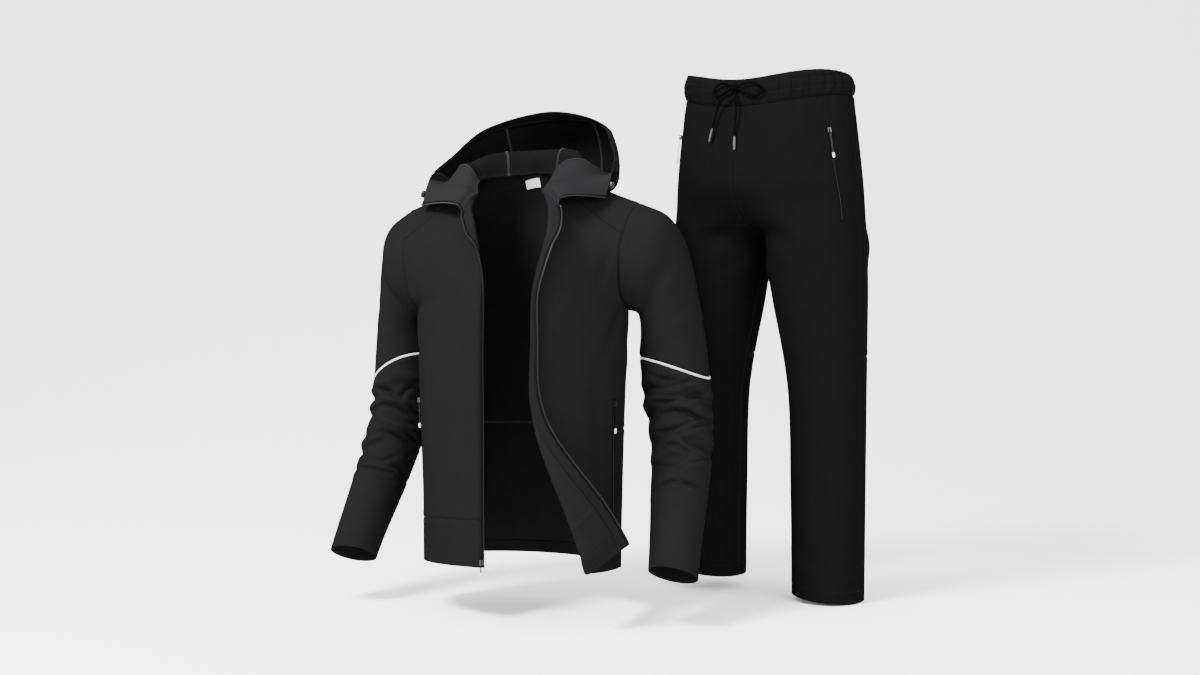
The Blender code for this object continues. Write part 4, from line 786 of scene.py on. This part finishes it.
def plainLook(name, colour, rough, metal=0.0, gloss=0.5):
    look = bpy.data.materials.new(name)
    look.use_nodes = True
    shader = look.node_tree.nodes["Principled BSDF"]
    shader.inputs["Base Color"].default_value = (*colour, 1)
    shader.inputs["Roughness"].default_value = rough
    shader.inputs["Metallic"].default_value = metal
    shader.inputs["Specular IOR Level"].default_value = gloss
    return look


jacketCloth = clothLook("jacketSoftshell", (0.0050, 0.0050, 0.0052), 1600, 0.25, 0.35)
fleeceInside = clothLook("fleeceInside", (0.0053, 0.0053, 0.0056), 700, 0.5, 0.8)
# painted light: the collar's inner, turned-out face is the jacket softshell made lighter, for the light falling on it
collarShellLit = clothLook("collarSoftshell", (0.0072, 0.0072, 0.0075), 1600, 0.25, 0.35)
# painted shade: the waistband's inner face is the trouser softshell made much darker, for the shade inside the band
bandInside = clothLook("bandInside", (0.0012, 0.0012, 0.0013), 1600, 0.25, 0.35)
trouserCloth = clothLook("trouserSoftshell", (0.0029, 0.0029, 0.0031), 1600, 0.25, 0.35)
# painted shade: the hood's inside is the inside fleece made darker, for the shade inside the hood
hoodFleece = clothLook("hoodFleece", (0.0032, 0.0032, 0.0034), 700, 0.5, 0.8)
pipingLook = plainLook("reflectivePiping", (0.4000, 0.4000, 0.4080), 0.35)
tapeLook = clothLook("zipTape", (0.0027, 0.0027, 0.0030), 2500, 0.1, 0.4)
teethLook = plainLook("zipTeeth", (0.0060, 0.0060, 0.0065), 0.45, 0.0, 0.12)
sliderLook = plainLook("sliderMetal", (0.045, 0.045, 0.048), 0.35, 0.9)
pullLook = plainLook("pullRubber", (0.0028, 0.0028, 0.0030), 0.45, 0.0, 0.15)
tipLook = plainLook("whiteTip", (0.5600, 0.5600, 0.5600), 0.4)
labelLook = plainLook("blankLabel", (0.6020, 0.6020, 0.6020), 0.6)
cordLook = clothLook("drawcordBraid", (0.0015, 0.0015, 0.0017), 1800, 0.1, 0.6)
cordMetal = plainLook("cordTipMetal", (0.09, 0.09, 0.093), 0.28, 1.0)
darkThread = plainLook("darkThread", (0.0070, 0.0070, 0.0076), 0.6, 0.0, 0.02)
greyThread = plainLook("greyThread", (0.0190, 0.0190, 0.0200), 0.6, 0.0, 0.05)
print("materials made")

# creases on the body: column and place of each end, width, depth
jacketFolds = []
for side in sides:
    for u0, l0, u1, l1, wide, deep in (
        (0.02, 0.46, 0.34, 0.36, 0.013, 0.0030), (0.03, 0.50, 0.45, 0.47, 0.012, 0.0022),
        (0.10, 0.60, 0.36, 0.50, 0.012, 0.0018), (0.30, 0.10, 0.38, 0.40, 0.022, 0.0022),
        (0.62, 0.12, 0.66, 0.42, 0.026, 0.0018), (0.05, 1.15, 0.40, 1.26, 0.014, 0.0026),
        (0.05, 1.06, 0.42, 1.00, 0.014, 0.0022), (0.35, 1.24, 0.42, 1.54, 0.026, 0.0024),
        (0.70, 1.20, 0.66, 1.50, 0.028, 0.0018),
    ):
        shift = 0.03 if side == "left" else -0.02
        jacketFolds.append(crease(torso(side, u0, l0 + shift), torso(side, u1 + shift, l1), wide, deep))

# the looks outside and inside
bothSides = {
    "jacket": (jacketCloth, fleeceInside), "hood": (jacketCloth, hoodFleece), "trousers": (trouserCloth, fleeceInside),
}


def frontPanel(side):
    return lambda c, r: sheet(side, c, frontPlace(c, cut["hemBand"] + (cut["insertAtArm"] - cut["hemBand"]) * r))


def insertPanel(side):
    return lambda c, r: sheet(side, c, insertSeam(c) + (cut["shoulder"] - insertSeam(c)) * r)


for side, flip in (("left", -1), ("right", 1)):
    clothPiece(f"shoulder_insert_{side}", insertPanel(side), flip, bothSides["jacket"],
               (0.0035, 0.0035), creases=jacketFolds)
    clothPiece(f"front_{side}", frontPanel(side), flip, bothSides["jacket"], (0.0031, 0.0048),
               creases=jacketFolds)
    clothPiece(f"front_hem_band_{side}", lambda c, r, s=side: sheet(s, c, cut["hemBand"] * r + 0 * c), flip,
               bothSides["jacket"], (0.0027, 0.0036), creases=jacketFolds,
               pressed=("bottom", "left", "right"))
print("fronts made")

# the back's top edge: share of the way from middle to side, and the place there
backTop = {
    "place": [0, 0.09, 0.19, 0.275, 0.315, 0.33], "neck": [0.9, 0.8825, 0.865, 0.85, 0.825, 0.8], "blendTo": 0.966,
}


# The back runs from the shoulder and neck line down; c goes from the right side over the middle to the
# left. Above blendTo, places blend from the neck's curve to straight rows.
def backPoint(c, l):
    q = 2 * c - 1
    c, l, q = np.broadcast_arrays(c, l, q)
    far = np.abs(q)
    topU = np.minimum(1.0, 1 - (far - 0.33) / 0.67)
    topL = np.interp(far, backTop["place"], backTop["neck"])
    share = np.clip((l - cut["shoulder"]) / (backTop["blendTo"] - cut["shoulder"]), 0, 1)
    u = topU + (1 - far - topU) * share
    place = np.where(l < backTop["blendTo"], topL + (backTop["blendTo"] - topL) * share, l)
    return np.where((q > 0)[..., None], torso("left", u, place), torso("right", u, place))


clothPiece("back_upper", lambda c, r: backPoint(c, cut["shoulder"] + (cut["backSeam"] - cut["shoulder"]) * r), 1,
           bothSides["jacket"], (0.0050, 0.0050), creases=jacketFolds)
clothPiece("back_lower", lambda c, r: backPoint(c, cut["backSeam"] + (1.6 - cut["backSeam"]) * r), 1,
           bothSides["jacket"], (0.0050, 0.0048), creases=jacketFolds,
           pressed=("top", "left", "right"))
print("back made")

# creases on the upper sleeves: both ends, width, depth
sleeveFolds = {}
for side, sign in (("left", 1), ("right", -1)):
    sleeveFolds[side] = [
        crease((sign * 0.30, 0.00, -0.16), (sign * 0.24, -0.02, -0.25), 0.013, 0.0028),
        crease((sign * 0.33, 0.02, -0.24), (sign * 0.235, 0.01, -0.30), 0.013, 0.0024),
        crease((sign * 0.29, 0.13, -0.20), (sign * 0.23, 0.12, -0.29), 0.014, 0.0028),
        crease((sign * 0.27, -0.04, -0.62), (sign * 0.34, -0.05, -0.60), 0.012, 0.0018),
    ]


# creases drawn on the lower sleeves: width, depth, places in the picture
armLines = {
    "left": (
        (0.005, 0.0016, ((638, 371), (660, 378), (683, 382), (696, 378))),
        (0.0035, 0.0022, ((647, 389), (665, 388), (681, 384), (694, 380))),
        (0.0035, 0.0022, ((651, 396), (669, 395), (687, 396), (698, 392))),
        (0.004, 0.0032, ((646, 402), (669, 401), (687, 399), (701, 392))),
        (0.0035, 0.0020, ((680, 405), (692, 399), (712, 391))),
        (0.004, 0.0034, ((652, 422), (660, 414), (674, 410), (687, 412), (698, 418), (713, 422))),
        (0.0035, 0.0020, ((654, 432), (669, 431), (687, 424), (698, 419))),
        (0.0035, 0.0026, ((676, 435), (692, 428), (714, 421))),
        (0.004, 0.0034, ((656, 453), (665, 445), (676, 444), (685, 450), (692, 455))),
        (0.0035, 0.0022, ((678, 436), (692, 446), (712, 453))),
        (0.0035, 0.0020, ((657, 466), (672, 466), (687, 459), (700, 456))),
        (0.0035, 0.0026, ((674, 473), (687, 464), (712, 457))),
        (0.0035, 0.0018, ((675, 475), (687, 483), (700, 486))),
        (0.004, 0.0032, ((655, 491), (663, 484), (674, 481), (689, 485), (708, 492))),
    ),
    "right": (
        (0.0045, 0.0036, ((369, 386), (384, 389), (395, 395), (402, 399))),
        (0.0045, 0.0030, ((401, 398), (406, 390), (416, 383))),
        (0.004, 0.0026, ((370, 412), (382, 405), (397, 405), (413, 414))),
        (0.0045, 0.0026, ((379, 411), (393, 417), (408, 423), (423, 425))),
        (0.0045, 0.0036, ((409, 404), (424, 418))),
        (0.004, 0.0032, ((357, 443), (368, 434), (382, 431), (397, 436), (414, 447))),
        (0.004, 0.0034, ((405, 431), (418, 442))),
        (0.0035, 0.0024, ((357, 451), (368, 458), (384, 461), (396, 456))),
        (0.004, 0.0032, ((387, 464), (399, 469), (407, 478))),
        (0.004, 0.0034, ((351, 472), (362, 467), (379, 470), (393, 473), (403, 480))),
    ),
}


def sleevePanel(side, low, high):  # rings between two slanting or level lines round the arm
    def f(c, r):
        l = cut["underarm"] + cut["armRound"] * (c + 0 * r)
        return sleeve(side, l, low(l) + (high(l) - low(l)) * (r + 0 * c))
    return f


def pipeHigh(side):  # the seam above the piping; on the right sleeve it slants a little more
    slant = cut["pipingSlant"] if side == "right" else 0
    return lambda l: pipingPlace(l) - slant * np.cos(armAngle(l))


def pipeLow(side):
    return lambda l: pipeHigh(side)(l) + cut["pipingWide"] / cut["pipingRow"]


for side, flip in (("left", -1), ("right", 1)):
    clothPiece(f"sleeve_upper_{side}", sleevePanel(side, lambda l: 0 * l, pipeHigh(side)), flip, bothSides["jacket"],
               (0.0052, 0.0052), True, creases=sleeveFolds[side])
    clothPiece(f"sleeve_lower_{side}", sleevePanel(side, pipeLow(side), lambda l: cut["cuffAt"] + 0 * l), flip,
               bothSides["jacket"], (0.0030, 0.0024), True, creases=sleeveFolds[side],
               pressed=("top",), lines=armLines[side])
    ring = np.linspace(0, 1, 220, endpoint=False)
    l = cut["underarm"] + cut["armRound"] * ring
    above, below = [sleeve(side, l, seam(side)(l)[None])[0] for seam in (pipeHigh, pipeLow)]
    line = (above + below) / 2
    n = unit(np.cross(np.roll(line, -1, axis=0) - np.roll(line, 1, axis=0), below - above)) * flip
    wide = cut["pipingWide"]
    turnAt = np.linspace(0, 2 * np.pi, 14, endpoint=False)
    profile = np.stack([np.cos(turnAt) * wide / 2, np.sin(turnAt) * 0.0016 - 0.0001], axis=-1)
    piping = carried(f"piping_{side}_tape", line, n, profile, pipingLook, wrap=True)
    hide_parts(f"piping_{side}")
print("sleeves made")

# creases on the hood: both ends, width, depth
hoodFolds = [
    crease((-0.15, 0.10, 0.10), (-0.11, 0.17, 0.02), 0.012, 0.0022),
    crease((0.15, 0.09, 0.09), (0.12, 0.16, 0.01), 0.012, 0.0022),
    crease((0.02, 0.20, 0.09), (0.05, 0.20, 0.01), 0.014, 0.0020),
    crease((-0.155, -0.03, -0.03), (-0.11, -0.06, -0.04), 0.009, 0.0016),
    crease((0.16, -0.05, -0.05), (0.12, -0.06, -0.04), 0.009, 0.0016),
]


def hoodPanel(side, first, last, low, high):
    return lambda c, r: hood(side, first + (last - first) * c, low + (high - low) * r)


def acrossHood(first, low, high):  # from the left over the middle to the right
    def f(c, r):
        c, r = np.broadcast_arrays(c, r)
        l = cut["backNeck"] - (cut["backNeck"] - first) * np.abs(2 * c - 1)
        v = low + (high - low) * r
        return np.where((c < 0.5)[..., None], hood("left", l, v), hood("right", l, v))
    return f


for side, flip in (("left", 1), ("right", -1)):
    clothPiece(f"collar_{side}", hoodPanel(side, cut["collarFrom"], cut["insertAtNeck"], 0, 9), flip,
               (jacketCloth, collarShellLit), (0.003, 0.003), creases=hoodFolds,
               pressed=("top", "left", "right"))
    clothPiece(f"hood_side_{side}", hoodPanel(side, cut["insertAtNeck"], cut["sideTo"], 0, cut["casingAt"]), flip,
               bothSides["hood"], (0.0032, 0.0034), creases=hoodFolds)
clothPiece("hood_centre", acrossHood(cut["sideTo"], 0, cut["casingAt"]), 1, bothSides["hood"],
           (0.0032, 0.0034), creases=hoodFolds)
clothPiece("hood_edge_casing", acrossHood(cut["insertAtNeck"], cut["casingAt"], 9), 1, (jacketCloth, jacketCloth),
           (0.0036, 0.0012), creases=hoodFolds,
           pressed=("top", "left", "right"), tight=(0.0, 0.0007, 0.0015))
print("hood made")


def ownPlace(p):  # back into the trousers' own frame, without the hem's slant
    c, s = np.cos(trousers["turn"]), np.sin(trousers["turn"])
    x, y = p[..., 0] - trousers["at"][0], p[..., 1] - trousers["at"][1]
    return c * x + s * y, -s * x + c * y, p[..., 2]


# Gathers under the waistband: waves round the waist, strongest 20 mm below the band and gone by 90 mm.
def gathered(p):
    x, y, z = ownPlace(p)
    x = np.clip(x, -0.19, 0.19)
    bearing = np.arctan2(x, -y)
    line = np.interp(np.cos(bearing), [-1, 0, 1], [0.195, 0.173, 0.142])
    below = np.clip((line - z) / 0.020, 0, None)
    strength = below * np.exp(1 - below) * (z < line) * (0.75 + 0.25 * np.sin(3 * bearing + 1.0))
    waves = np.sin(28 * bearing + 1.4 * np.sin(5 * bearing)) + 0.5 * np.sin(47 * bearing + 0.8)
    return 0.0011 * strength * waves


legFolds = []
for side, sign in (("left", 1), ("right", -1)):
    for part, u0, t0, u1, t1, wide, deep in (
        ("front", 0.80, 4.3, 0.45, 5.6, 0.016, 0.0030), ("front", 0.88, 5.4, 0.55, 6.5, 0.015, 0.0024),
        ("front", 0.30, 7.3, 0.70, 7.5, 0.020, 0.0016), ("front", 0.75, 9.4, 0.35, 9.7, 0.014, 0.0020),
        ("front", 0.50, 6.8, 0.46, 9.2, 0.024, 0.0014), ("back", 0.85, 4.6, 0.35, 5.2, 0.017, 0.0034),
        ("back", 0.25, 7.2, 0.75, 7.35, 0.015, 0.0030), ("back", 0.30, 7.75, 0.80, 7.6, 0.014, 0.0026),
        ("back", 0.70, 9.5, 0.25, 9.75, 0.014, 0.0022), ("back", 0.55, 6.0, 0.50, 7.1, 0.020, 0.0018),
    ):
        shift = 0.0 if side == "left" else 0.12
        legFolds.append(crease(leg(side, part, u0, t0 + shift), leg(side, part, u1, t1 + shift), wide, deep))


def legPanel(side, part, first, last):
    return lambda c, r: leg(side, part, c, first + (last - first) * r)


knee = trousers["kneeSeam"]
for side, sign in (("left", 1), ("right", -1)):
    clothPiece(f"trouser_front_{side}", legPanel(side, "front", 0, 10), sign, bothSides["trousers"],
               (0.0052, 0.0058), creases=legFolds, extra=gathered,
               pressed=("top", "left", "right"))
    clothPiece(f"trouser_back_{side}", legPanel(side, "back", 0, knee), -sign, bothSides["trousers"],
               (0.0055, 0.0060), creases=legFolds, extra=gathered)
    clothPiece(f"trouser_back_knee_{side}", legPanel(side, "back", knee, 10), -sign, bothSides["trousers"],
               (0.0055, 0.0060), creases=legFolds,
               pressed=("top", "left", "right"))


def elastic(p):  # uneven gathers on the waistband, pinched along its two stitch rows
    x, y, z = ownPlace(p)
    bearing = np.arctan2(x, -y)
    low = np.interp(np.cos(bearing), [-1, 0, 1], [0.195, 0.173, 0.142])
    high = np.interp(np.cos(bearing), [-1, 0, 1], [0.243, 0.217, 0.194])
    v = np.clip((z + 0.02 * x - low) / (high - low), 0, 1)
    waves = (np.sin(74 * bearing + 2.1 * np.sin(7 * bearing))
             + 0.6 * np.sin(121 * bearing + 1.7 * np.sin(4 * bearing + 2)))
    pinch = np.exp(-((v - 0.36) / 0.05) ** 2) + np.exp(-((v - 0.70) / 0.05) ** 2)
    return np.sin(np.pi * v) ** 0.6 * 0.00095 * waves * (1 - 0.3 * pinch) - 0.0009 * pinch


clothPiece("waistband", lambda c, r: band(np.pi * (2 * c - 1), r), 1, (trouserCloth, bandInside),
           (0.0022, 0.0026), True, extra=elastic,
           pressed=("top",), wall=0.002)
print("trousers made")


def behind(f, flip, deep, e=1e-3):  # a surface moved in from another along its normal
    def g(c, r):
        c, r = np.broadcast_arrays(c, r)
        n = unit(np.cross(f(c + e, r) - f(c - e, r), f(c, r + e) - f(c, np.maximum(r - e, 0)))) * flip
        return f(c, r) - n * deep
    return g


for side, flip, top, deep in (("left", -1, cut["collarFrom"], 0.0021), ("right", 1, cut["underarm"], 0.0021)):
    clothPiece(f"front_facing_{side}",
               behind(lambda c, r, s=side, t=top: sheet(s, 0.947 + 0.05 * c, 0.002 + (t - 0.004) * r), flip, deep),
               flip, (jacketCloth, jacketCloth), (0.002, 0.004), wall=0.001, pressed=(),
               tight=(0.0, 0.0007))


def hemFacing(name, f, flip):
    mid = f(np.linspace(0, 1, 130)[None, :], np.linspace(0, 1, 10)[:, None])
    n = gridNormals(mid, False, flip)
    lip = 0.0006 * np.cos(np.linspace(-1.5, 1.5, 10))[:, None, None]
    piece = wallMesh(name, mid + n * 0.0004, mid - n * (0.0002 + lip), False, flip, (jacketCloth, jacketCloth))
    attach(piece, "garment")


hemFacing("hem_facing_left", behind(lambda c, r: sheet("left", 0.03 + 0.90 * c, 0.001 + 0.022 * r), -1, 0.0016), -1)
hemFacing("hem_facing_right", behind(lambda c, r: sheet("right", 0.03 + 0.90 * c, 0.001 + 0.022 * r), 1, 0.0016), 1)
hemFacing("hem_facing_back", behind(lambda c, r: backPoint(0.01 + 0.98 * c, 1.577 + 0.022 * r), 1, 0.0016), 1)
print("facings made")

# the tape's width and thickness, the pitch of the teeth and a tooth's length, width, height
zipSizes = {"tape": 0.0058, "tapeThick": 0.0011, "pitch": 0.0023, "tooth": (0.0014, 0.0026, 0.0021)}
teeth = []
for side, flip in (("left", -1), ("right", 1)):
    hem, front, collar = [cloths[f"{n}_{side}"] for n in ("front_hem_band", "front", "collar")]
    v = cut["hemBand"] + (cut["insertAtArm"] - cut["hemBand"]) * front["rows"]
    upTo = int((frontPlace(1.0, v) < cut["collarFrom"] - 0.001).sum())
    parts = [(hem["mid"][:-1], hem["n"][:-1], -1, -5), (front["mid"][:upTo], front["n"][:upTo], -1, -5),
             (collar["mid"][1:], collar["n"][1:], 0, 4)]
    edge = np.concatenate([g[:, k] for g, _, k, _ in parts])
    near = np.concatenate([g[:, k] for g, _, _, k in parts])
    n = np.concatenate([m[:, k] for _, m, k, _ in parts])
    s = runLength(edge)
    at = np.linspace(0, s[-1], int(s[-1] / 0.0025))
    edge, near, n = [readAt(at, s, g) for g in (edge, near, n)]
    for _ in range(3):  # eases the turn where the front meets the collar
        n[1:-1] = (n[:-2] + n[1:-1] + n[2:]) / 3
    along = unit(np.gradient(edge, axis=0))
    n = unit(n)
    away = edge - near
    away = away - (away * along).sum(-1, keepdims=True) * along
    away = unit(away - (away * n).sum(-1, keepdims=True) * n)
    tape = carried(f"zip_{side}_tape", edge + away * 0.0026, n, flatProfile(zipSizes["tape"], zipSizes["tapeThick"]),
                   tapeLook)
    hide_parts(f"zip_{side}")
    teeth.append(barsAlong(edge + away * 0.0048, n, zipSizes["pitch"], zipSizes["tooth"]))

pocketProfile = [(-0.0042, 0.0010), (-0.0042, 0.0014), (-0.0037, 0.0020), (-0.0030, 0.0022), (-0.0023, 0.0019),
                 (-0.0018, 0.0014), (0.0, 0.0013), (0.0018, 0.0014), (0.0023, 0.0019), (0.0030, 0.0022),
                 (0.0037, 0.0020), (0.0042, 0.0014), (0.0042, 0.0010), (0.0, 0.0009)][::-1]
for side in sides:
    l = np.linspace(0.085, 0.305, 90)
    u = 0.165 - 0.045 * (0.305 - l) / 0.22
    runs = {"pocket_zip": onCloth(f"front_{side}", u, (l - cut["hemBand"]) / (cut["insertAtArm"] - cut["hemBand"]))}
    t = np.linspace(0.75, 3.8, 90)
    u = 0.30 - 0.11 * (t - 0.75) / 3.05
    runs["trouser_pocket_zip"] = onCloth(f"trouser_front_{side}", u, t / 10)
    for name, (p, n) in runs.items():
        strip = carried(f"{name}_{side}_strip", p, n, pocketProfile, tapeLook)
        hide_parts(f"{name}_{side}")
        teeth.append(barsAlong(p, n, 0.0017, (0.0010, 0.0024, 0.0008), 0.0016))
barPiece("zip_teeth", teeth, teethLook)
print("zips made")

# pitch of the stitches, and length, width, height of a stitch and of a crosswise thread
sewing = {"pitch": 0.0031, "stitch": (0.0023, 0.00055, 0.0005), "cross": (0.0010, 0.0042, 0.0005)}
dark, grey = [], []


def sew(node, edge, insets, face=1):
    for inset in insets:
        p, n = edgeRun(node, edge, inset, face)
        dark.append(barsAlong(p, n, sewing["pitch"], sewing["stitch"], 0.00002))


def bind(node, edge, inset, face):  # close crosswise threads over a seam on the inside
    p, n = edgeRun(node, edge, inset, face)
    grey.append(barsAlong(p, n, 0.0019, sewing["cross"], 0.0002))


# where stitches run: piece, edge, distances in from it; a piece of each side is named without its side
seams = (
    ("front", "top", (0.0022, 0.0078)), ("front_hem_band", "bottom", (0.0020, 0.0075)),
    ("front_hem_band", "top", (0.0220,)), ("front", "right", (0.0030, 0.0062)),
    ("front_hem_band", "right", (0.0030, 0.0062)), ("shoulder_insert", "left", (0.0020, 0.0070)),
    ("shoulder_insert", "bottom", (0.0020,)), ("sleeve_lower", "bottom", (0.0220,)),
    ("sleeve_lower", "top", (0.0022,)), ("collar", "left", (0.0030, 0.0060)), ("collar", "bottom", (0.0045,)),
    ("hood_side", "right", (0.0022,)), ("trouser_front", "right", (0.0022, 0.0070)),
    ("trouser_front", "left", (0.0022,)), ("trouser_front", "bottom", (0.0230,)),
    ("trouser_back", "right", (0.0022,)), ("trouser_back_knee", "top", (0.0022, 0.0070)),
    ("trouser_back_knee", "bottom", (0.0230,)),
)
for side in sides:
    for node, edge, insets in seams:
        sew(f"{node}_{side}", edge, insets)
    for edge in ("right", "left"):
        bind(f"hood_side_{side}", edge, 0.0012, -1)
for node, edge, insets in (("back_upper", "bottom", (0.0022,)), ("back_lower", "top", (0.0022, 0.0078)),
                           ("back_lower", "bottom", (0.0220,)), ("hood_edge_casing", "top", (0.0022,)),
                           ("hood_centre", "left", (0.0022,)), ("hood_centre", "right", (0.0022,)),
                           ("waistband", "top", (0.0030,))):
    sew(node, edge, insets)
sew("hood_edge_casing", "top", (0.0022,), -1)
bind("back_lower", "top", 0.0020, -1)
for edge in ("left", "right"):
    bind("hood_centre", edge, 0.0012, -1)
for at in (0.36, 0.70):
    c = np.append(cloths["waistband"]["cols"], 0.9999)
    p, n = onCloth("waistband", c, np.full(len(c), at))
    dark.append(barsAlong(p + n * cut["wall"] / 2, n, sewing["pitch"], sewing["stitch"], 0.0001))
barPiece("topstitching", dark, darkThread)
barPiece("inside_binding", grey, greyThread)
print("sewing made")

# the bow's routes, in the trousers' own frame
bow = {
    "drawcord_loop_right": [(-0.0084, -0.1300, 0.1789), (-0.020, -0.1290, 0.185), (-0.032, -0.1285, 0.185),
                            (-0.043, -0.1270, 0.181), (-0.049, -0.1262, 0.173), (-0.046, -0.1275, 0.164),
                            (-0.037, -0.1300, 0.160), (-0.026, -0.1325, 0.164), (-0.0084, -0.1330, 0.1733)],
    "drawcord_loop_left": [(0.0084, -0.1300, 0.1789), (0.022, -0.1290, 0.185), (0.036, -0.1280, 0.185),
                           (0.050, -0.1255, 0.181), (0.058, -0.1245, 0.173), (0.053, -0.1260, 0.163),
                           (0.041, -0.1295, 0.160), (0.028, -0.1325, 0.164), (0.0084, -0.1330, 0.1733)],
    "drawcord_end_right": [(-0.0032, -0.1328, 0.1690), (-0.0042, -0.1342, 0.1655), (-0.014, -0.1370, 0.160),
                           (-0.027, -0.1365, 0.154), (-0.034, -0.1345, 0.144), (-0.039, -0.1340, 0.130),
                           (-0.043, -0.1345, 0.115), (-0.047, -0.1350, 0.100)],
    "drawcord_end_left": [(0.0028, -0.1328, 0.1690), (0.0034, -0.1342, 0.1650), (0.005, -0.1365, 0.155),
                          (0.007, -0.1375, 0.143), (0.007, -0.1380, 0.128), (0.006, -0.1385, 0.112),
                          (0.005, -0.1390, 0.096), (0.005, -0.1395, 0.082)],
}
for name, points in bow.items():
    points = np.array(points) + np.array([0, trousers["bowIn"], 0])
    s = runLength(points)
    route = turned(smooth(np.concatenate([s[:, None], points], axis=1), np.linspace(0, s[-1], 60)))
    curve = bpy.data.curves.new(f"{name}_braid", "CURVE")
    curve.dimensions = "3D"
    curve.bevel_depth = 0.002
    curve.bevel_resolution = 4
    curve.use_fill_caps = True
    line = curve.splines.new("POLY")
    line.points.add(len(route) - 1)
    line.points.foreach_set("co", np.concatenate([route, np.ones((len(route), 1))], axis=1).ravel())
    line.use_smooth = True
    curve.materials.append(cordLook)
    braid = placed(f"{name}_braid", curve)
    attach(braid, "garment")
    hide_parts(name)
print("cords made")

# hard pieces keep the part's own solids, with their real finishes
finishes = {"_slider": sliderLook, "_pull": pullLook, "_pull_tip": tipLook, "hood_toggle_left": pullLook,
            "hood_toggle_right": pullLook, "neck_label": labelLook, "drawcord_tip_left": cordMetal,
            "drawcord_tip_right": cordMetal, "drawcord_knot": cordLook}
for node, solid in frame["nodes"].items():
    for ending, look in finishes.items():
        if node.endswith(ending):
            solid.data.materials.clear()
            solid.data.materials.append(look)

# the floor runs level under the set and curves up far behind it
arc = np.linspace(0.05, np.pi / 2, 30)
sweep = np.concatenate([[(-9.0, 0.0), (-2.0, 0.0), (1.1, 0.0), (1.2, 0.0)],
                        np.stack([1.2 + 4 * np.sin(arc), 4 - 4 * np.cos(arc)], axis=-1), [(5.2, 9.0)]])
side = np.array([np.cos(studio["turn"]), np.sin(studio["turn"]), 0])
ahead = np.array([-np.sin(studio["turn"]), np.cos(studio["turn"]), 0])
ground = (sweep[:, None, :1] * ahead + sweep[:, None, 1:] * np.array([0, 0, 1.0])
          + np.array([-9.0, 9.0])[None, :, None] * side + np.array([0, 0, studio["floorAt"]]))
k = 2 * np.arange(len(sweep) - 1)[:, None]
floorLook = plainLook("paleFloor", (0.93, 0.93, 0.93), 0.9)
floor = newMesh("floor", ground.reshape(-1, 3), k + np.array([0, 1, 3, 2]), [floorLook])

world = bpy.data.worlds.new("studioWorld")
world.use_nodes = True
world.node_tree.nodes["Background"].inputs["Color"].default_value = (1, 1, 1, 1)
world.node_tree.nodes["Background"].inputs["Strength"].default_value = 2.6
bpy.context.scene.world = world


def softLight(name, place, aim, size, power):
    light = bpy.data.lights.new(name, "AREA")
    light.shape = "DISK"
    light.size = size
    light.energy = power
    lamp = placed(name, light)
    place, aim = np.array(place, float), np.array(aim, float)
    back = unit(place - aim)
    side = unit(np.cross([0, 0, 1.0], back))
    up = np.cross(back, side)
    m = np.eye(4)
    m[:3, 0], m[:3, 1], m[:3, 2], m[:3, 3] = side, up, back, place
    lamp.matrix_world = m.T.tolist()  # columns


softLight("key", (-0.9, -2.0, 2.3), (0.05, 0, -0.35), 1.1, 430)
softLight("fill", (2.6, -1.6, 0.6), (0.2, 0, -0.3), 2.4, 110)

spot = studio["aside"] * side - studio["away"] * ahead
view = bpy.data.cameras.new("camera")
view.sensor_width = 36
view.lens = studio["lens"]
camera = placed("camera", view)
camera.location = (float(spot[0]), float(spot[1]), studio["height"])
camera.rotation_euler = (float(np.pi / 2), 0, float(studio["turn"]))
bpy.context.scene.camera = camera

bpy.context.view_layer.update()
counts = sorted((sum(len(q.vertices) - 2 for q in piece.data.polygons), piece.name)
                for piece in bpy.data.objects if piece.type == "MESH")
print("triangles", sum(c for c, _ in counts), "most", counts[-6:])
print("scene made")
